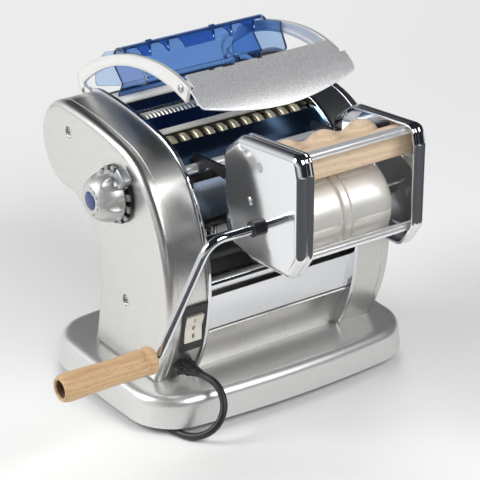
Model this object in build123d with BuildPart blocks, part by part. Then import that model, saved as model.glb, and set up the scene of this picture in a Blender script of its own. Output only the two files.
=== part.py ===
from build123d import *
import os
from math import atan2, cos, degrees, hypot, pi, radians, sin, sqrt, tan

os.makedirs("parts", exist_ok=True)

# All sizes in millimetres. X runs along the rollers, -Y is the front, +Z is up.
# The origin is on the table, under the middle of the base.

# Base tray, its closing plate and its feet
base_width = 290.0
base_depth = 208.0
base_corner = 45.0
base_bow = 11.0
base_side_bow = 3.0
base_bottom = 8.0
base_top = 36.0
base_wall = 2.5
base_edge = 9.0
base_draft = 5.0
inner_draft = 13.0
plate_gap = 0.6
foot_draft = 4.0
plate_thickness = 2.0
foot_radius = 11.0
foot_inset_x = 44.0
foot_inset_y = 42.0
boss_radius = 5.0

# Side pods: outline in the YZ plane, thickness along X
bay_half = 77.0
side_plate = 4.0
side_lip = 2.2
pod_width = 40.0
pod_wall = 2.5
pod_edge = 7.0
foot_front = (-56.0, base_top)
foot_rear = (43.5, base_top)
belly = (-81.5, 124.0)
shoulder = (-58.0, 208.0)
brow = (-7.0, 244.0)
crown = (80.0, 253.0)
lobe_side = (122.9, 222.6)
tail = (81.8, 170.7)
underside = (64.8, 167.8)
waist = (29.7, 112.5)
pod_inner = bay_half + side_plate
pod_outer = pod_inner + pod_width
screw_places = ((74.0, 228.5), (-15.0, 100.6))
screw_head = 4.5
screw_shank = 2.0
screw_dome = 30.0
pin_boss = 10.0
pin_depth = 7.5

# Sheet metal between the pods
sheet = 1.5
deck_recess = 3.0
cover_recess = 5.0
chute_recess = 3.5
feed_edge = 83.0
rear_plate = 21.5
fine_slot = (24.0, 39.5)
wide_slot = (-12.5, -4.5)
bar_depth = 6.0
hook_edge = -32.0
deck_low = 200.0
deck_high = 300.0
mouth_front = -90.0
mouth_rear = -46.0
rear_top = 240.0
rear_start = 20.0
skirt_top = 81.0
chute_top = 116.0
mouth_top = 172.0
cover_top = 212.0
strip_height = 6.0
skirt_foot = (-52.0, base_top)
skirt_middle = (-59.0, 61.0)
skirt_lip = (-74.0, 80.0)
rod_place = (-41.0, 221.5)
rod_radius = 4.5
steel_roll = (-71.5, 126.0)
steel_roll_radius = 7.5
dark_roll = (-66.0, 154.0)
dark_roll_radius = 9.0

# Rollers, cutters and their gears
roller_room = 2.0
roller_half = bay_half - roller_room
roller_radius = 14.2
journal = 5.0
bush_radius = 8.0
running = 0.05
end_gap = 0.3
cutter_radius = 11.0
cutter_core = 8.6
fine_rim = 0.2
fine_depth = 1.6
fine_pitch = 4.0
fine_count = int(2 * roller_half // fine_pitch)
wide_disc = 6.5
wide_count = int(roller_half // wide_disc)
disc_gap = 0.4
front_roller = (75.0, 222.0)
fine_roller = (32.0, 235.5)
wide_roller = (-8.5, 227.5)
roller_tilt = -25.0
fine_tilt = -40.0
wide_tilt = -24.5
gear_module = 2.0
gear_width = 6.0
gear_gap = 1.0
tooth_height = 0.75
tooth_foot = 0.34
tooth_crest = 0.13
roller_teeth = 15
cutter_teeth = 10
branch_teeth = 13
link_teeth = 13
idler_teeth = 30
pinion_teeth = 10
idler_tilt = -130.0
pinion_tilt = -100.0
stub_radius = 4.0
motor_shaft = 4.0
motor_radius = 25.0
motor_length = 96.0
gearbox_length = 24.0

# Thickness dial
dial_place = (-5.0, 199.0)
ring_radius = 26.0
ring_width = 5.0
dial_radius = 22.5
dial_height = 22.0
dial_flutes = 7
dial_shaft = 4.0
dial_gap = 0.4
dial_rim = 5.0
dial_crown = 14.0
dial_cheek = (16.5, 18.7)
flute_reach = 4.0
flute_radius = 8.0
cap_radius = 8.0
cap_depth = 2.0
cap_proud = 1.5
ring_notches = 12
ring_tooth = 4.0
pawl_angle = 128.0
pawl_size = 16.0

# Rocker switch, cable gland and cord
switch_inset = 12.5
switch_place = (-pod_inner - switch_inset, 93.0)
bezel_width = 24.0
bezel_height = 46.0
bezel_proud = 1.5
bezel_seat = 2.0
socket_wall = 1.5
socket_depth = 14.0
socket_gap = 0.5
rocker_width = 17.6
rocker_height = 27.0
rocker_swing = 1.6
rocker_rise = 1.0
rocker_depth = 6.0
rocker_pivot = 3.0
pivot_radius = 1.5
gland_inset = 15.0
gland_place = (-pod_inner - gland_inset, 52.0)
gland_radius = 9.0
gland_neck = 6.0
gland_length = 10.0
gland_reach = 20.0
gland_inside = 8.0
gland_draft = 6.0
gland_flange = 3.3
gland_tilt = (0.30, -0.94, -0.15)
cord_radius = 3.3
cord_floor = 3.5
cord_route = (
    (-84.5, -103.0, 46.5),
    (-86.5, -118.5, 31.0),
    (-99.5, -121.5, 13.5),
    (-114.0, -108.0, cord_floor),
    (-121.0, -84.0, cord_floor),
    (-120.0, -44.0, cord_floor),
    (-123.0, 5.0, cord_floor),
    (-121.0, 52.0, cord_floor),
    (-108.0, 92.0, cord_floor),
    (-76.0, 122.0, cord_floor),
    (-5.0, 136.0, cord_floor),
    (30.0, 139.0, cord_floor),
)
coil_place = (30.0, 178.0)
coil_inner = 30.0
coil_outer = 45.0
coil_height = 20.0
plug_place = (100.0, 172.0)
plug_radius = 16.0
plug_body = 34.0
plug_neck = 6.0
pin_radius = 2.2
pin_length = 19.0
pin_spacing = 19.0

# Guard: arms, visor and hood
arm_room = 2.0
arm_inner = bay_half - arm_room
arm_width = 4.0
arm_root = (122.0, 243.0)
arm_heel = (128.0, 252.0)
arm_back = (125.0, 262.0)
arm_crest = (67.0, 294.0)
arm_apex = (-8.0, 309.2)
arm_brow = (-36.0, 306.8)
arm_nose = (-53.0, 302.5)
arm_tip = (-49.0, 287.0)
arm_belly = (-20.0, 293.8)
arm_arch = (12.0, 295.4)
arm_haunch = (68.0, 282.7)
arm_root_inner = (117.0, 252.0)
arm_screw = (-42.0, 298.0)
hinge = (111.0, 236.8)
hinge_reach = 12.0
hinge_sweep = 18.5
hinge_pin = 2.5
pivot_head = 2.0
notch_gap = 0.6
hinge_notch = arm_room + pivot_head + 2 * notch_gap
visor_rear = (-41.0, 306.5)
visor_middle = (-62.0, 298.0)
visor_front = (-82.0, 279.0)
visor_step = -57.0
visor_lap = 1.5
visor_wing = 3.0
visor_bow = 2.0
visor_side = arm_inner + arm_width + visor_lap
visor_half = visor_side + visor_wing
visor_shoulder = -69.0
visor_sheet = 2.0
hood_sheet = 2.2
hood_roll = 14.0
hood_centre = (58.0, 288.0)
hood_lip = 154.0
hood_turn = -30.0
hood_crease = (58.0, 269.0)
hood_foot = (65.0, 256.0)
cheek_points = (
    (103.0, 252.0),
    (104.0, 265.0),
    (91.0, 285.0),
    (85.0, 290.5),
    (67.0, 297.0),
    (27.0, 305.5),
    (27.0, 298.0),
    (17.0, 281.0),
)
cheek_round = 4.0
scallop_radius = 8.5
scallop_inset = 7.3
scallop_next = 32.0
scallop_last = 51.0

# Gnocchi attachment
plate_outer = 66.0
pan_depth = 15.0
pan_wall = 2.0
drum_place = (-135.0, 202.0)
drum_radius = 37.0
drum_half = 49.5
drum_groove = 8.0
axle = 4.0
wave_radius = 17.0
wave_valley = 11.5
wave_pitch = 38.5
wave_place = (-138.0, 257.0)
axle_proud = 3.0
pan_points = (
    (-82.0, 254.0),
    (-85.5, 183.0),
    (-95.0, 170.0),
    (-128.0, 166.5),
    (-178.0, 170.0),
    (-193.0, 192.0),
    (-193.0, 258.0),
    (-184.0, 283.0),
    (-106.0, 274.0),
)
pan_round = 5.0
pan_edge = 1.5
hook_points = (
    (-120.0, 240.0),
    (-36.0, 234.0),
    (-33.0, 219.0),
    (-46.0, 219.0),
    (-58.0, 228.0),
    (-120.0, 224.0),
)
hook_round = 2.0
hook_sheet = 3.0
hook_mouth = 40.0
pan_rod = 4.0
top_rod = (-178.0, 276.0)
low_rod = (-182.5, 190.0)
board_place = (-167.0, 263.0)
board_thickness = 12.0
board_height = 26.0
board_round = 3.0
comb_place = (-176.0, 187.0)
comb_depth = 16.0
comb_angle = -20.0
drum_groove_depth = 2.0
drum_edge = 1.0
collar_radius = 7.0
collar_length = 6.0

# Crank
crank_rod = 4.0
crank_out = 114.0
crank_grip_x = 152.0
crank_foot = (-115.0, 98.0)
crank_bends = (20.0, 8.0)
grip_radius = 12.0
grip_start = 158.0
grip_length = 90.0
grip_ring = 12.0
grip_bead = 1.0
grip_swell = ((0.0, 10.5), (10.8, 12.0), (45.0, 11.2), (76.5, 12.0), (90.0, 11.0))
crank_tip_gap = 6.0
washer_radius = 6.0
washer_width = 1.5


def polar(centre, reach, angle):
    """The point at a distance and direction from another in the YZ plane."""
    return (centre[0] + reach * cos(radians(angle)), centre[1] + reach * sin(radians(angle)))


def meet(first, reach, second, other_reach):
    """The lower point where circles round two points cross."""
    span = hypot(second[0] - first[0], second[1] - first[1])
    along = (reach**2 - other_reach**2 + span**2) / (2 * span)
    drop = sqrt(reach**2 - along**2)
    u = ((second[0] - first[0]) / span, (second[1] - first[1]) / span)
    return (first[0] + along * u[0] + drop * u[1], first[1] + along * u[1] - drop * u[0])


def bearing(first, second):
    return degrees(atan2(second[1] - first[1], second[0] - first[0]))


def side_on(x):
    """A sketch plane across X: its own axes are Y and Z."""
    return Plane(origin=(x, 0, 0), x_dir=(0, 1, 0), z_dir=(1, 0, 0))


def save(part, name):
    part.label = name
    export_step(part, f"parts/{name}.step")
    print(name, round(part.volume / 1000, 2), "cm3", len(part.solids()))


def body_outline():
    """The pod's outline, from the front foot over the top to the rear foot."""
    with BuildLine() as line:
        belly_arc = TangentArc(belly, foot_front, tangent=(0, -1))
        front_arc = TangentArc(belly, shoulder, tangent=(0, 1))
        shoulder_arc = TangentArc(shoulder, brow, tangent=front_arc % 1)
        top_arc = TangentArc(brow, crown, tangent=shoulder_arc % 1)
        lobe_arc = ThreePointArc(crown, lobe_side, tail)
        under_arc = TangentArc(tail, underside, tangent=lobe_arc % 1)
        waist_arc = TangentArc(underside, waist, tangent=under_arc % 1)
        TangentArc(waist, foot_rear, tangent=waist_arc % 1)
        Line(foot_rear, foot_front)
    return line.line


def body_face(inset, footing=False):
    """The pod's outline grown by a negative inset or shrunk by a positive one."""
    with BuildSketch() as face:
        with BuildLine():
            add(body_outline())
        make_face()
        if inset:
            offset(amount=-inset, kind=Kind.INTERSECTION if inset > 0 else Kind.ARC)
        if footing:
            start, end = face.vertices().sort_by(Axis.Y)[:2]
            with BuildLine():
                Polyline((start.X, start.Y), (end.X, end.Y), (end.X, 0), (start.X, 0), close=True)
            make_face()
    return face.sketch


def between(inset, low, high, thickness=sheet):
    """A sheet that follows the pod's outline between two corners of a box in YZ."""
    with BuildPart() as piece:
        with BuildSketch(side_on(-bay_half)):
            add(body_face(inset, footing=True))
            add(body_face(inset + thickness, footing=True), mode=Mode.SUBTRACT)
            with Locations(((low[0] + high[0]) / 2, (low[1] + high[1]) / 2)):
                Rectangle(high[0] - low[0], high[1] - low[1], mode=Mode.INTERSECT)
        extrude(amount=2 * bay_half)
    return piece.part


def gear_face(teeth, phase, bore=0.0):
    """A spur gear's face with flat-topped tapered teeth."""
    radius = gear_module * teeth / 2
    pitch = 360 / teeth
    tip = radius + tooth_height * gear_module
    root = radius - gear_module
    with BuildSketch() as face:
        with BuildLine():
            points = []
            for i in range(teeth):
                middle = phase + i * pitch
                points += [polar((0, 0), root, middle - tooth_foot * pitch)]
                points += [polar((0, 0), tip, middle - tooth_crest * pitch)]
                points += [polar((0, 0), tip, middle + tooth_crest * pitch)]
                points += [polar((0, 0), root, middle + tooth_foot * pitch)]
            Polyline(*points, close=True)
        make_face()
        if bore:
            Circle(bore, mode=Mode.SUBTRACT)
    return face.sketch


def next_phase(phase, teeth, towards, next_teeth):
    """The phase that brings the next gear into mesh with this one."""
    share = (towards - phase) * teeth / 360
    return towards + 180 + (share + 0.5) * 360 / next_teeth


# Where the rollers, cutters and gears sit
rear_roller = polar(front_roller, gear_module * roller_teeth, roller_tilt)
fine_pair = polar(fine_roller, gear_module * cutter_teeth, fine_tilt)
wide_pair = polar(wide_roller, gear_module * cutter_teeth, wide_tilt)
branch_reach = gear_module * (branch_teeth + cutter_teeth) / 2
branch_place = meet(wide_pair, branch_reach, fine_pair, branch_reach)
link_place = meet(
    branch_place,
    gear_module * (branch_teeth + link_teeth) / 2,
    front_roller,
    gear_module * (link_teeth + roller_teeth) / 2,
)
idler_place = polar(branch_place, gear_module * (branch_teeth + idler_teeth) / 2, idler_tilt)
motor_place = polar(idler_place, gear_module * (idler_teeth + pinion_teeth) / 2, pinion_tilt)
print("branch", branch_place, "link", link_place, "idler", idler_place, "motor", motor_place)

front_phase = 0.0
rear_phase = next_phase(front_phase, roller_teeth, bearing(front_roller, rear_roller), roller_teeth)
link_phase = next_phase(front_phase, roller_teeth, bearing(front_roller, link_place), link_teeth)
branch_phase = next_phase(link_phase, link_teeth, bearing(link_place, branch_place), branch_teeth)
fine_pair_phase = next_phase(branch_phase, branch_teeth, bearing(branch_place, fine_pair), cutter_teeth)
fine_phase = next_phase(fine_pair_phase, cutter_teeth, bearing(fine_pair, fine_roller), cutter_teeth)
wide_pair_phase = next_phase(branch_phase, branch_teeth, bearing(branch_place, wide_pair), cutter_teeth)
wide_phase = next_phase(wide_pair_phase, cutter_teeth, bearing(wide_pair, wide_roller), cutter_teeth)
idler_phase = next_phase(branch_phase, branch_teeth, bearing(branch_place, idler_place), idler_teeth)
pinion_phase = next_phase(idler_phase, idler_teeth, bearing(idler_place, motor_place), pinion_teeth)
first_plane = pod_inner + pod_wall + gear_gap
second_plane = first_plane + gear_width + gear_gap
journals = (front_roller, rear_roller, fine_roller, fine_pair, wide_roller, wide_pair)
stub_shafts = (branch_place, link_place, idler_place)


# Base tray
def base_face(inset):
    """The tray's plan: four bowed sides with rounded corners."""
    half_x = base_width / 2 - inset
    half_y = base_depth / 2 - inset
    with BuildSketch() as face:
        with BuildLine():
            right_front = (half_x - base_side_bow, base_bow - half_y)
            left_front = (base_side_bow - half_x, base_bow - half_y)
            right_rear = (half_x - base_side_bow, half_y - base_bow)
            left_rear = (base_side_bow - half_x, half_y - base_bow)
            ThreePointArc(left_front, (0, -half_y), right_front)
            ThreePointArc(right_front, (half_x, 0), right_rear)
            ThreePointArc(right_rear, (0, half_y), left_rear)
            ThreePointArc(left_rear, (-half_x, 0), left_front)
        make_face()
        fillet(face.vertices(), radius=base_corner - inset)
    return face.sketch


foot_places = [
    (sx * (base_width / 2 - foot_inset_x), sy * (base_depth / 2 - foot_inset_y))
    for sx in (-1, 1)
    for sy in (-1, 1)
]
with BuildPart() as base_tray:
    with BuildSketch(Plane.XY.offset(base_bottom)):
        add(base_face(0))
    extrude(amount=base_top - base_bottom, taper=base_draft)
    fillet(base_tray.faces().sort_by(Axis.Z)[-1].edges(), radius=base_edge)
    with BuildSketch(Plane.XY.offset(base_bottom)):
        add(base_face(base_wall))
    extrude(amount=base_top - base_bottom - base_wall, taper=inner_draft, mode=Mode.SUBTRACT)
    with BuildSketch(Plane.XY.offset(base_bottom + plate_thickness)):
        with Locations(*foot_places):
            Circle(boss_radius)
    extrude(until=Until.NEXT)
save(base_tray.part, "base_tray")

with BuildPart() as base_plate:
    with BuildSketch(Plane.XY.offset(base_bottom)):
        add(base_face(base_wall + plate_gap))
    extrude(amount=plate_thickness)
save(base_plate.part, "base_plate")

with BuildPart() as rubber_feet:
    for place in foot_places:
        with BuildSketch(Plane.XY):
            with Locations(place):
                Circle(foot_radius)
        extrude(amount=base_bottom, taper=foot_draft)
save(rubber_feet.part, "rubber_feet")


# Side pods: a moulded shell on each side, open towards the side plate
def pod_shell(side):
    with BuildPart() as shell:
        with BuildSketch(side_on(side * pod_inner)):
            add(body_face(0))
        extrude(amount=side * pod_width)
        outer = shell.faces().sort_by(Axis.X)[-1 if side > 0 else 0]
        fillet(outer.edges(), radius=pod_edge)
        with BuildSketch(side_on(side * pod_inner)):
            add(body_face(pod_wall))
        extrude(amount=side * (pod_width - pod_wall), mode=Mode.SUBTRACT)
        with BuildSketch(side_on(side * pod_inner)):
            add(body_face(0))
            with Locations(hinge):
                Circle(hinge_sweep + 2 * notch_gap, mode=Mode.INTERSECT)
        extrude(amount=side * pod_wall)
        with BuildSketch(side_on(side * pod_inner)):
            with Locations(hinge):
                Circle(hinge_pin + pod_wall)
            add(body_face(pod_wall / 2), mode=Mode.INTERSECT)
        extrude(amount=side * pin_boss)
        with BuildSketch(side_on(side * pod_inner)):
            with Locations(hinge):
                Circle(hinge_pin)
        extrude(amount=side * pin_depth, mode=Mode.SUBTRACT)
        with BuildSketch(side_on(side * pod_outer)):
            with Locations(*screw_places):
                Circle(screw_shank)
        extrude(amount=-side * pod_wall, mode=Mode.SUBTRACT)
    return shell.part


belly_lean = foot_front[0] - belly[0]
belly_radius = (belly_lean**2 + (belly[1] - base_top) ** 2) / (2 * belly_lean)


def belly_plane(place, out=0.0):
    """A plane that faces out of the pod's rounded front at an X and a height."""
    rise = place[1] - belly[1]
    level = sqrt(belly_radius**2 - rise**2)
    normal = (0, -level / belly_radius, rise / belly_radius)
    return Plane(origin=(place[0], belly[0] + belly_radius - level, place[1]), x_dir=(1, 0, 0), z_dir=normal).offset(out)


with BuildPart() as right_pod:
    add(pod_shell(1))
save(right_pod.part, "right_pod")

gland_spot = belly_plane(gland_place).origin
gland_plane = Plane(origin=gland_spot, x_dir=(0, 0, 1), z_dir=gland_tilt)
socket_width = rocker_width + 2 * socket_gap
socket_height = rocker_height + 2 * rocker_swing
with BuildPart() as left_pod:
    add(pod_shell(-1))
    with BuildSketch(belly_plane(switch_place, -bezel_seat)):
        Rectangle(bezel_width, bezel_height)
    extrude(amount=bezel_seat + pod_wall, mode=Mode.SUBTRACT)
    with BuildSketch(belly_plane(switch_place, -bezel_seat - 2 * pod_wall)):
        Rectangle(socket_width + 2 * socket_wall, socket_height + 2 * socket_wall)
    extrude(amount=3 * pod_wall, mode=Mode.SUBTRACT)
    with BuildSketch(gland_plane.offset(-gland_inside)):
        Circle(gland_radius)
    extrude(amount=2 * gland_inside, mode=Mode.SUBTRACT)
    with BuildSketch(side_on(-pod_outer)):
        with Locations(dial_place):
            Circle(dial_shaft + running)
    extrude(amount=pod_wall, mode=Mode.SUBTRACT)
save(left_pod.part, "left_pod")

with BuildPart() as pod_screws:
    for side in (-1, 1):
        with BuildSketch(side_on(side * pod_outer)):
            with Locations(*screw_places):
                Circle(screw_head)
        extrude(amount=side * screw_shank, taper=screw_dome)
        with BuildSketch(side_on(side * pod_outer)):
            with Locations(*screw_places):
                Circle(screw_shank)
        extrude(amount=-side * pod_wall)
save(pod_screws.part, "pod_screws")


# Side plates: polished plates that stand a little proud of the pods
def plate(side):
    with BuildPart() as piece:
        with BuildSketch(side_on(side * bay_half)):
            add(body_face(-side_lip, footing=True))
            with Locations((0, base_top)):
                Rectangle(2 * base_depth, base_depth, align=(Align.CENTER, Align.MAX), mode=Mode.SUBTRACT)
            with Locations(hinge):
                Circle(hinge_sweep, mode=Mode.SUBTRACT)
            with Locations(*journals):
                Circle(bush_radius, mode=Mode.SUBTRACT)
            if side > 0:
                with Locations(branch_place, link_place, idler_place):
                    Circle(stub_radius, mode=Mode.SUBTRACT)
                with Locations(motor_place):
                    Circle(motor_shaft + 2 * end_gap, mode=Mode.SUBTRACT)
        extrude(amount=side * side_plate)
    return piece.part


with BuildPart() as left_side_plate:
    add(plate(-1))
save(left_side_plate.part, "left_side_plate")

with BuildPart() as right_side_plate:
    add(plate(1))
save(right_side_plate.part, "right_side_plate")


with BuildPart() as bushes:
    for side in (-1, 1):
        with BuildSketch(side_on(side * bay_half)):
            with Locations(*journals):
                Circle(bush_radius)
                Circle(journal + running, mode=Mode.SUBTRACT)
        extrude(amount=side * side_plate)
save(bushes.part, "bushes")

# Deck plates from the rear to the front, with the slots for the rollers between them
save(between(deck_recess, (fine_slot[1] + rear_plate, deck_low), (feed_edge, deck_high)), "cream_plate")
save(between(deck_recess - sheet, (wide_slot[1], deck_low), (wide_slot[1] + bar_depth, deck_high)), "stop_bar")
with BuildPart() as deck:
    add(between(deck_recess, (hook_edge, deck_low), (fine_slot[1] + rear_plate, deck_high)))
    with BuildSketch(Plane.XY.offset(cover_top)):
        for front, rear in (wide_slot, fine_slot):
            with Locations((0, (front + rear) / 2)):
                Rectangle(2 * roller_half + 2 * end_gap, rear - front)
    extrude(amount=crown[1], mode=Mode.SUBTRACT)
save(deck.part, "deck")

# Front of the bay from the hook rod down to the base
save(between(cover_recess, (mouth_front, mouth_top + 2 * strip_height), (mouth_rear, cover_top)), "front_cover")
save(between(deck_recess - sheet, (mouth_front, mouth_top), (mouth_rear, mouth_top + strip_height), 2 * sheet), "chrome_strip")
save(between(chute_recess, (mouth_front, skirt_top), (mouth_rear, chute_top)), "chute_plate")
with BuildPart() as rear_cover:
    add(between(deck_recess, (rear_start, base_top), (2 * lobe_side[0], rear_top)))
    for side in (-1, 1):
        with BuildSketch(side_on(side * bay_half)):
            with Locations(hinge):
                Circle(hinge_sweep)
        extrude(amount=-side * hinge_notch, mode=Mode.SUBTRACT)
save(rear_cover.part, "rear_cover")

with BuildPart() as lower_skirt:
    with BuildSketch(side_on(-bay_half)):
        with BuildLine():
            ThreePointArc(skirt_foot, skirt_middle, skirt_lip)
            offset(amount=sheet, side=Side.RIGHT)
        make_face()
    extrude(amount=2 * bay_half)
save(lower_skirt.part, "lower_skirt")


def bar(place, radius, reach):
    """A round bar along X, between both sides of the machine."""
    with BuildPart() as piece:
        with BuildSketch(side_on(-reach)):
            with Locations(place):
                Circle(radius)
        extrude(amount=2 * reach)
    return piece.part


save(bar(rod_place, rod_radius, bay_half), "hook_rod")
save(bar(steel_roll, steel_roll_radius, bay_half), "steel_roll")
save(bar(dark_roll, dark_roll_radius, bay_half), "dark_roll")


# Rollers and cutters with their journals
def shaft(piece_radius, place, left, right):
    """A shaft along X at a place, from one X to another."""
    with BuildPart() as piece:
        with BuildSketch(side_on(left)):
            with Locations(place):
                Circle(piece_radius)
        extrude(amount=right - left)
    return piece.part


def across(place):
    """A plane whose own X runs along the machine's X and whose Y is the radius, for turned pieces."""
    return Plane(origin=(0, place[0], place[1]), x_dir=(1, 0, 0), z_dir=(0, -1, 0))


def gear(teeth, phase, place, left, width, bore=0.0):
    with BuildPart() as piece:
        with BuildSketch(side_on(left)):
            with Locations(place):
                add(gear_face(teeth, phase, bore))
        extrude(amount=width)
    return piece.part


def smooth_roller(place, phase):
    with BuildPart() as piece:
        add(shaft(roller_radius, place, -roller_half, roller_half))
        add(gear(roller_teeth, phase, place, first_plane, gear_width))
        add(shaft(journal, place, -pod_inner - gear_gap, first_plane + gear_width))
    return piece.part


save(smooth_roller(front_roller, front_phase), "front_roller")
save(smooth_roller(rear_roller, rear_phase), "rear_roller")


def fine_cutter(place, phase, shift):
    """A roller with V grooves; the second one of a pair is shifted by half a pitch."""
    with BuildPart() as piece:
        with BuildSketch(across(place)):
            with BuildLine():
                start = -fine_count * fine_pitch / 2
                ridges = []
                for i in range(2 * fine_count + 1):
                    low = (i + shift) % 2
                    ridges += [(start + i * fine_pitch / 2, cutter_radius - fine_rim - low * fine_depth)]
                left_end = [(-roller_half, 0), (-roller_half, ridges[0][1])]
                right_end = [(roller_half, ridges[-1][1]), (roller_half, 0)]
                Polyline(*left_end, *ridges, *right_end, close=True)
            make_face()
        revolve(axis=Axis((0, place[0], place[1]), (1, 0, 0)))
        add(shaft(journal, place, -pod_inner - gear_gap, second_plane + gear_width))
        add(gear(cutter_teeth, phase, place, second_plane, gear_width))
    return piece.part


save(fine_cutter(fine_roller, fine_phase, 0), "fine_cutter")
save(fine_cutter(fine_pair, fine_pair_phase, 1), "fine_cutter_pair")


def wide_cutter(place, phase, shift):
    """A core with discs; the second one of a pair has its discs in the gaps of the first."""
    with BuildPart() as piece:
        add(shaft(cutter_core, place, -roller_half, roller_half))
        start = (shift - wide_count) * wide_disc
        for i in range(wide_count):
            left = start + 2 * i * wide_disc + disc_gap / 2
            add(shaft(cutter_radius, place, left, left + wide_disc - disc_gap))
        add(shaft(journal, place, -pod_inner - gear_gap, second_plane + gear_width))
        add(gear(cutter_teeth, phase, place, second_plane, gear_width))
    return piece.part


save(wide_cutter(wide_roller, wide_phase, 0), "wide_cutter")
save(wide_cutter(wide_pair, wide_pair_phase, 1), "wide_cutter_pair")


# Gears on stub shafts pressed into the right side plate
double_width = second_plane + gear_width - first_plane
stub_bore = stub_radius + running
save(gear(branch_teeth, branch_phase, branch_place, first_plane, double_width, stub_bore), "branch_gear")
save(gear(link_teeth, link_phase, link_place, first_plane, gear_width, stub_bore), "link_gear")
save(gear(idler_teeth, idler_phase, idler_place, first_plane, gear_width, stub_bore), "idler_gear")

with BuildPart() as stub_shafts:
    for place in (branch_place, link_place, idler_place):
        add(shaft(stub_radius, place, bay_half, second_plane + gear_width + gear_gap))
save(stub_shafts.part, "stub_shafts")

# Motor and gearbox in the bay, on the right side plate
with BuildPart() as gearbox:
    with BuildSketch(side_on(bay_half - gearbox_length)):
        with Locations(motor_place):
            Circle(motor_radius)
    extrude(amount=gearbox_length)
    with BuildSketch(side_on(bay_half - gearbox_length / 2)):
        with Locations(motor_place):
            Circle(motor_shaft + 2 * end_gap)
    extrude(amount=gearbox_length, mode=Mode.SUBTRACT)
save(gearbox.part, "gearbox")
motor_end = bay_half - gearbox_length
save(shaft(motor_radius - pod_wall, motor_place, motor_end - motor_length, motor_end), "motor")

with BuildPart() as motor_pinion:
    add(shaft(motor_shaft, motor_place, bay_half - gearbox_length / 2 + end_gap, first_plane + gear_width))
    add(gear(pinion_teeth, pinion_phase, motor_place, first_plane, gear_width))
save(motor_pinion.part, "motor_pinion")


# Thickness dial on the left pod
dial_axis = Axis((0, dial_place[0], dial_place[1]), (1, 0, 0))
ring_face = -pod_outer - ring_width
dial_face = ring_face - dial_gap
dial_top = dial_face - dial_height
with BuildPart() as index_ring:
    with BuildSketch(side_on(-pod_outer)):
        with Locations(dial_place):
            Circle(ring_radius)
            Circle(dial_shaft + running, mode=Mode.SUBTRACT)
    extrude(amount=-ring_width)
    with BuildSketch(side_on(ring_face)):
        with Locations(dial_place):
            with PolarLocations(ring_radius, ring_notches):
                Rectangle(ring_tooth, ring_tooth)
    extrude(amount=ring_width / 2, mode=Mode.SUBTRACT)
    with BuildSketch(side_on(-pod_outer)):
        with Locations(polar(dial_place, ring_radius, pawl_angle)):
            Rectangle(pawl_size, pawl_size, rotation=pawl_angle)
        with Locations(dial_place):
            Circle(dial_radius + dial_gap, mode=Mode.SUBTRACT)
    extrude(amount=-2 * ring_width)
save(index_ring.part, "index_ring")

with BuildPart() as dial:
    with BuildSketch(across(dial_place)):
        with BuildLine():
            Line((dial_face, 0), (dial_face, dial_radius))
            Line((dial_face, dial_radius), (dial_face - dial_rim, dial_radius))
            ThreePointArc(
                (dial_face - dial_rim, dial_radius),
                (dial_face - dial_cheek[0], dial_cheek[1]),
                (dial_top, dial_crown),
            )
            Polyline((dial_top, dial_crown), (dial_top, 0), (dial_face, 0))
        make_face()
    revolve(axis=dial_axis)
    with BuildSketch(side_on(dial_top)):
        with Locations(dial_place):
            with PolarLocations(dial_radius + flute_reach, dial_flutes):
                Circle(flute_radius)
    extrude(amount=dial_height - dial_rim, mode=Mode.SUBTRACT)
    with BuildSketch(side_on(dial_top)):
        with Locations(dial_place):
            Circle(cap_radius)
    extrude(amount=cap_depth, mode=Mode.SUBTRACT)
    add(shaft(dial_shaft, dial_place, dial_face, 2 * pod_wall + end_gap - pod_outer))
    add(shaft(2 * dial_shaft, dial_place, pod_wall + end_gap - pod_outer, 2 * pod_wall + end_gap - pod_outer))
save(dial.part, "dial")

with BuildPart() as dial_cap:
    with BuildSketch(side_on(dial_top + cap_depth)):
        with Locations(dial_place):
            Circle(cap_radius)
    extrude(amount=-cap_depth - cap_proud)
    fillet(dial_cap.faces().sort_by(Axis.X)[0].edges(), radius=cap_proud)
save(dial_cap.part, "dial_cap")


# Rocker switch and cable gland on the left pod's front
def switch_side(out):
    """A plane across the switch whose own X runs up its face and whose Y points out of it."""
    face = belly_plane(switch_place)
    return Plane(origin=face.origin + Vector(out, 0, 0), x_dir=face.y_dir, z_dir=(1, 0, 0))


with BuildPart() as switch_bezel:
    with BuildSketch(belly_plane(switch_place, -bezel_seat)):
        Rectangle(bezel_width, bezel_height)
        Rectangle(socket_width, socket_height, mode=Mode.SUBTRACT)
    extrude(amount=bezel_seat + bezel_proud)
    with BuildSketch(belly_plane(switch_place, -bezel_seat)):
        Rectangle(socket_width + 2 * socket_wall, socket_height + 2 * socket_wall)
        Rectangle(socket_width, socket_height, mode=Mode.SUBTRACT)
    extrude(amount=-socket_depth)
    with BuildSketch(belly_plane(switch_place, -bezel_seat - socket_depth)):
        Rectangle(socket_width + 2 * socket_wall, socket_height + 2 * socket_wall)
    extrude(amount=socket_wall)
    with BuildSketch(switch_side(socket_width / 2 + socket_wall)):
        with Locations((0, -rocker_pivot)):
            Circle(pivot_radius + running)
    extrude(amount=-socket_width - 2 * socket_wall, mode=Mode.SUBTRACT)
save(switch_bezel.part, "switch_bezel")

with BuildPart() as rocker:
    with BuildSketch(switch_side(rocker_width / 2)):
        with BuildLine():
            Polyline(
                (-rocker_height / 2, bezel_proud + rocker_rise),
                (0, bezel_proud - rocker_rise),
                (rocker_height / 2, bezel_proud + rocker_rise),
                (rocker_height / 2 - rocker_swing, -rocker_depth),
                (rocker_swing - rocker_height / 2, -rocker_depth),
                close=True,
            )
        make_face()
    extrude(amount=-rocker_width)
    with BuildSketch(switch_side(socket_width / 2 + socket_wall)):
        with Locations((0, -rocker_pivot)):
            Circle(pivot_radius)
    extrude(amount=-socket_width - 2 * socket_wall)
save(rocker.part, "rocker")

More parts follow.
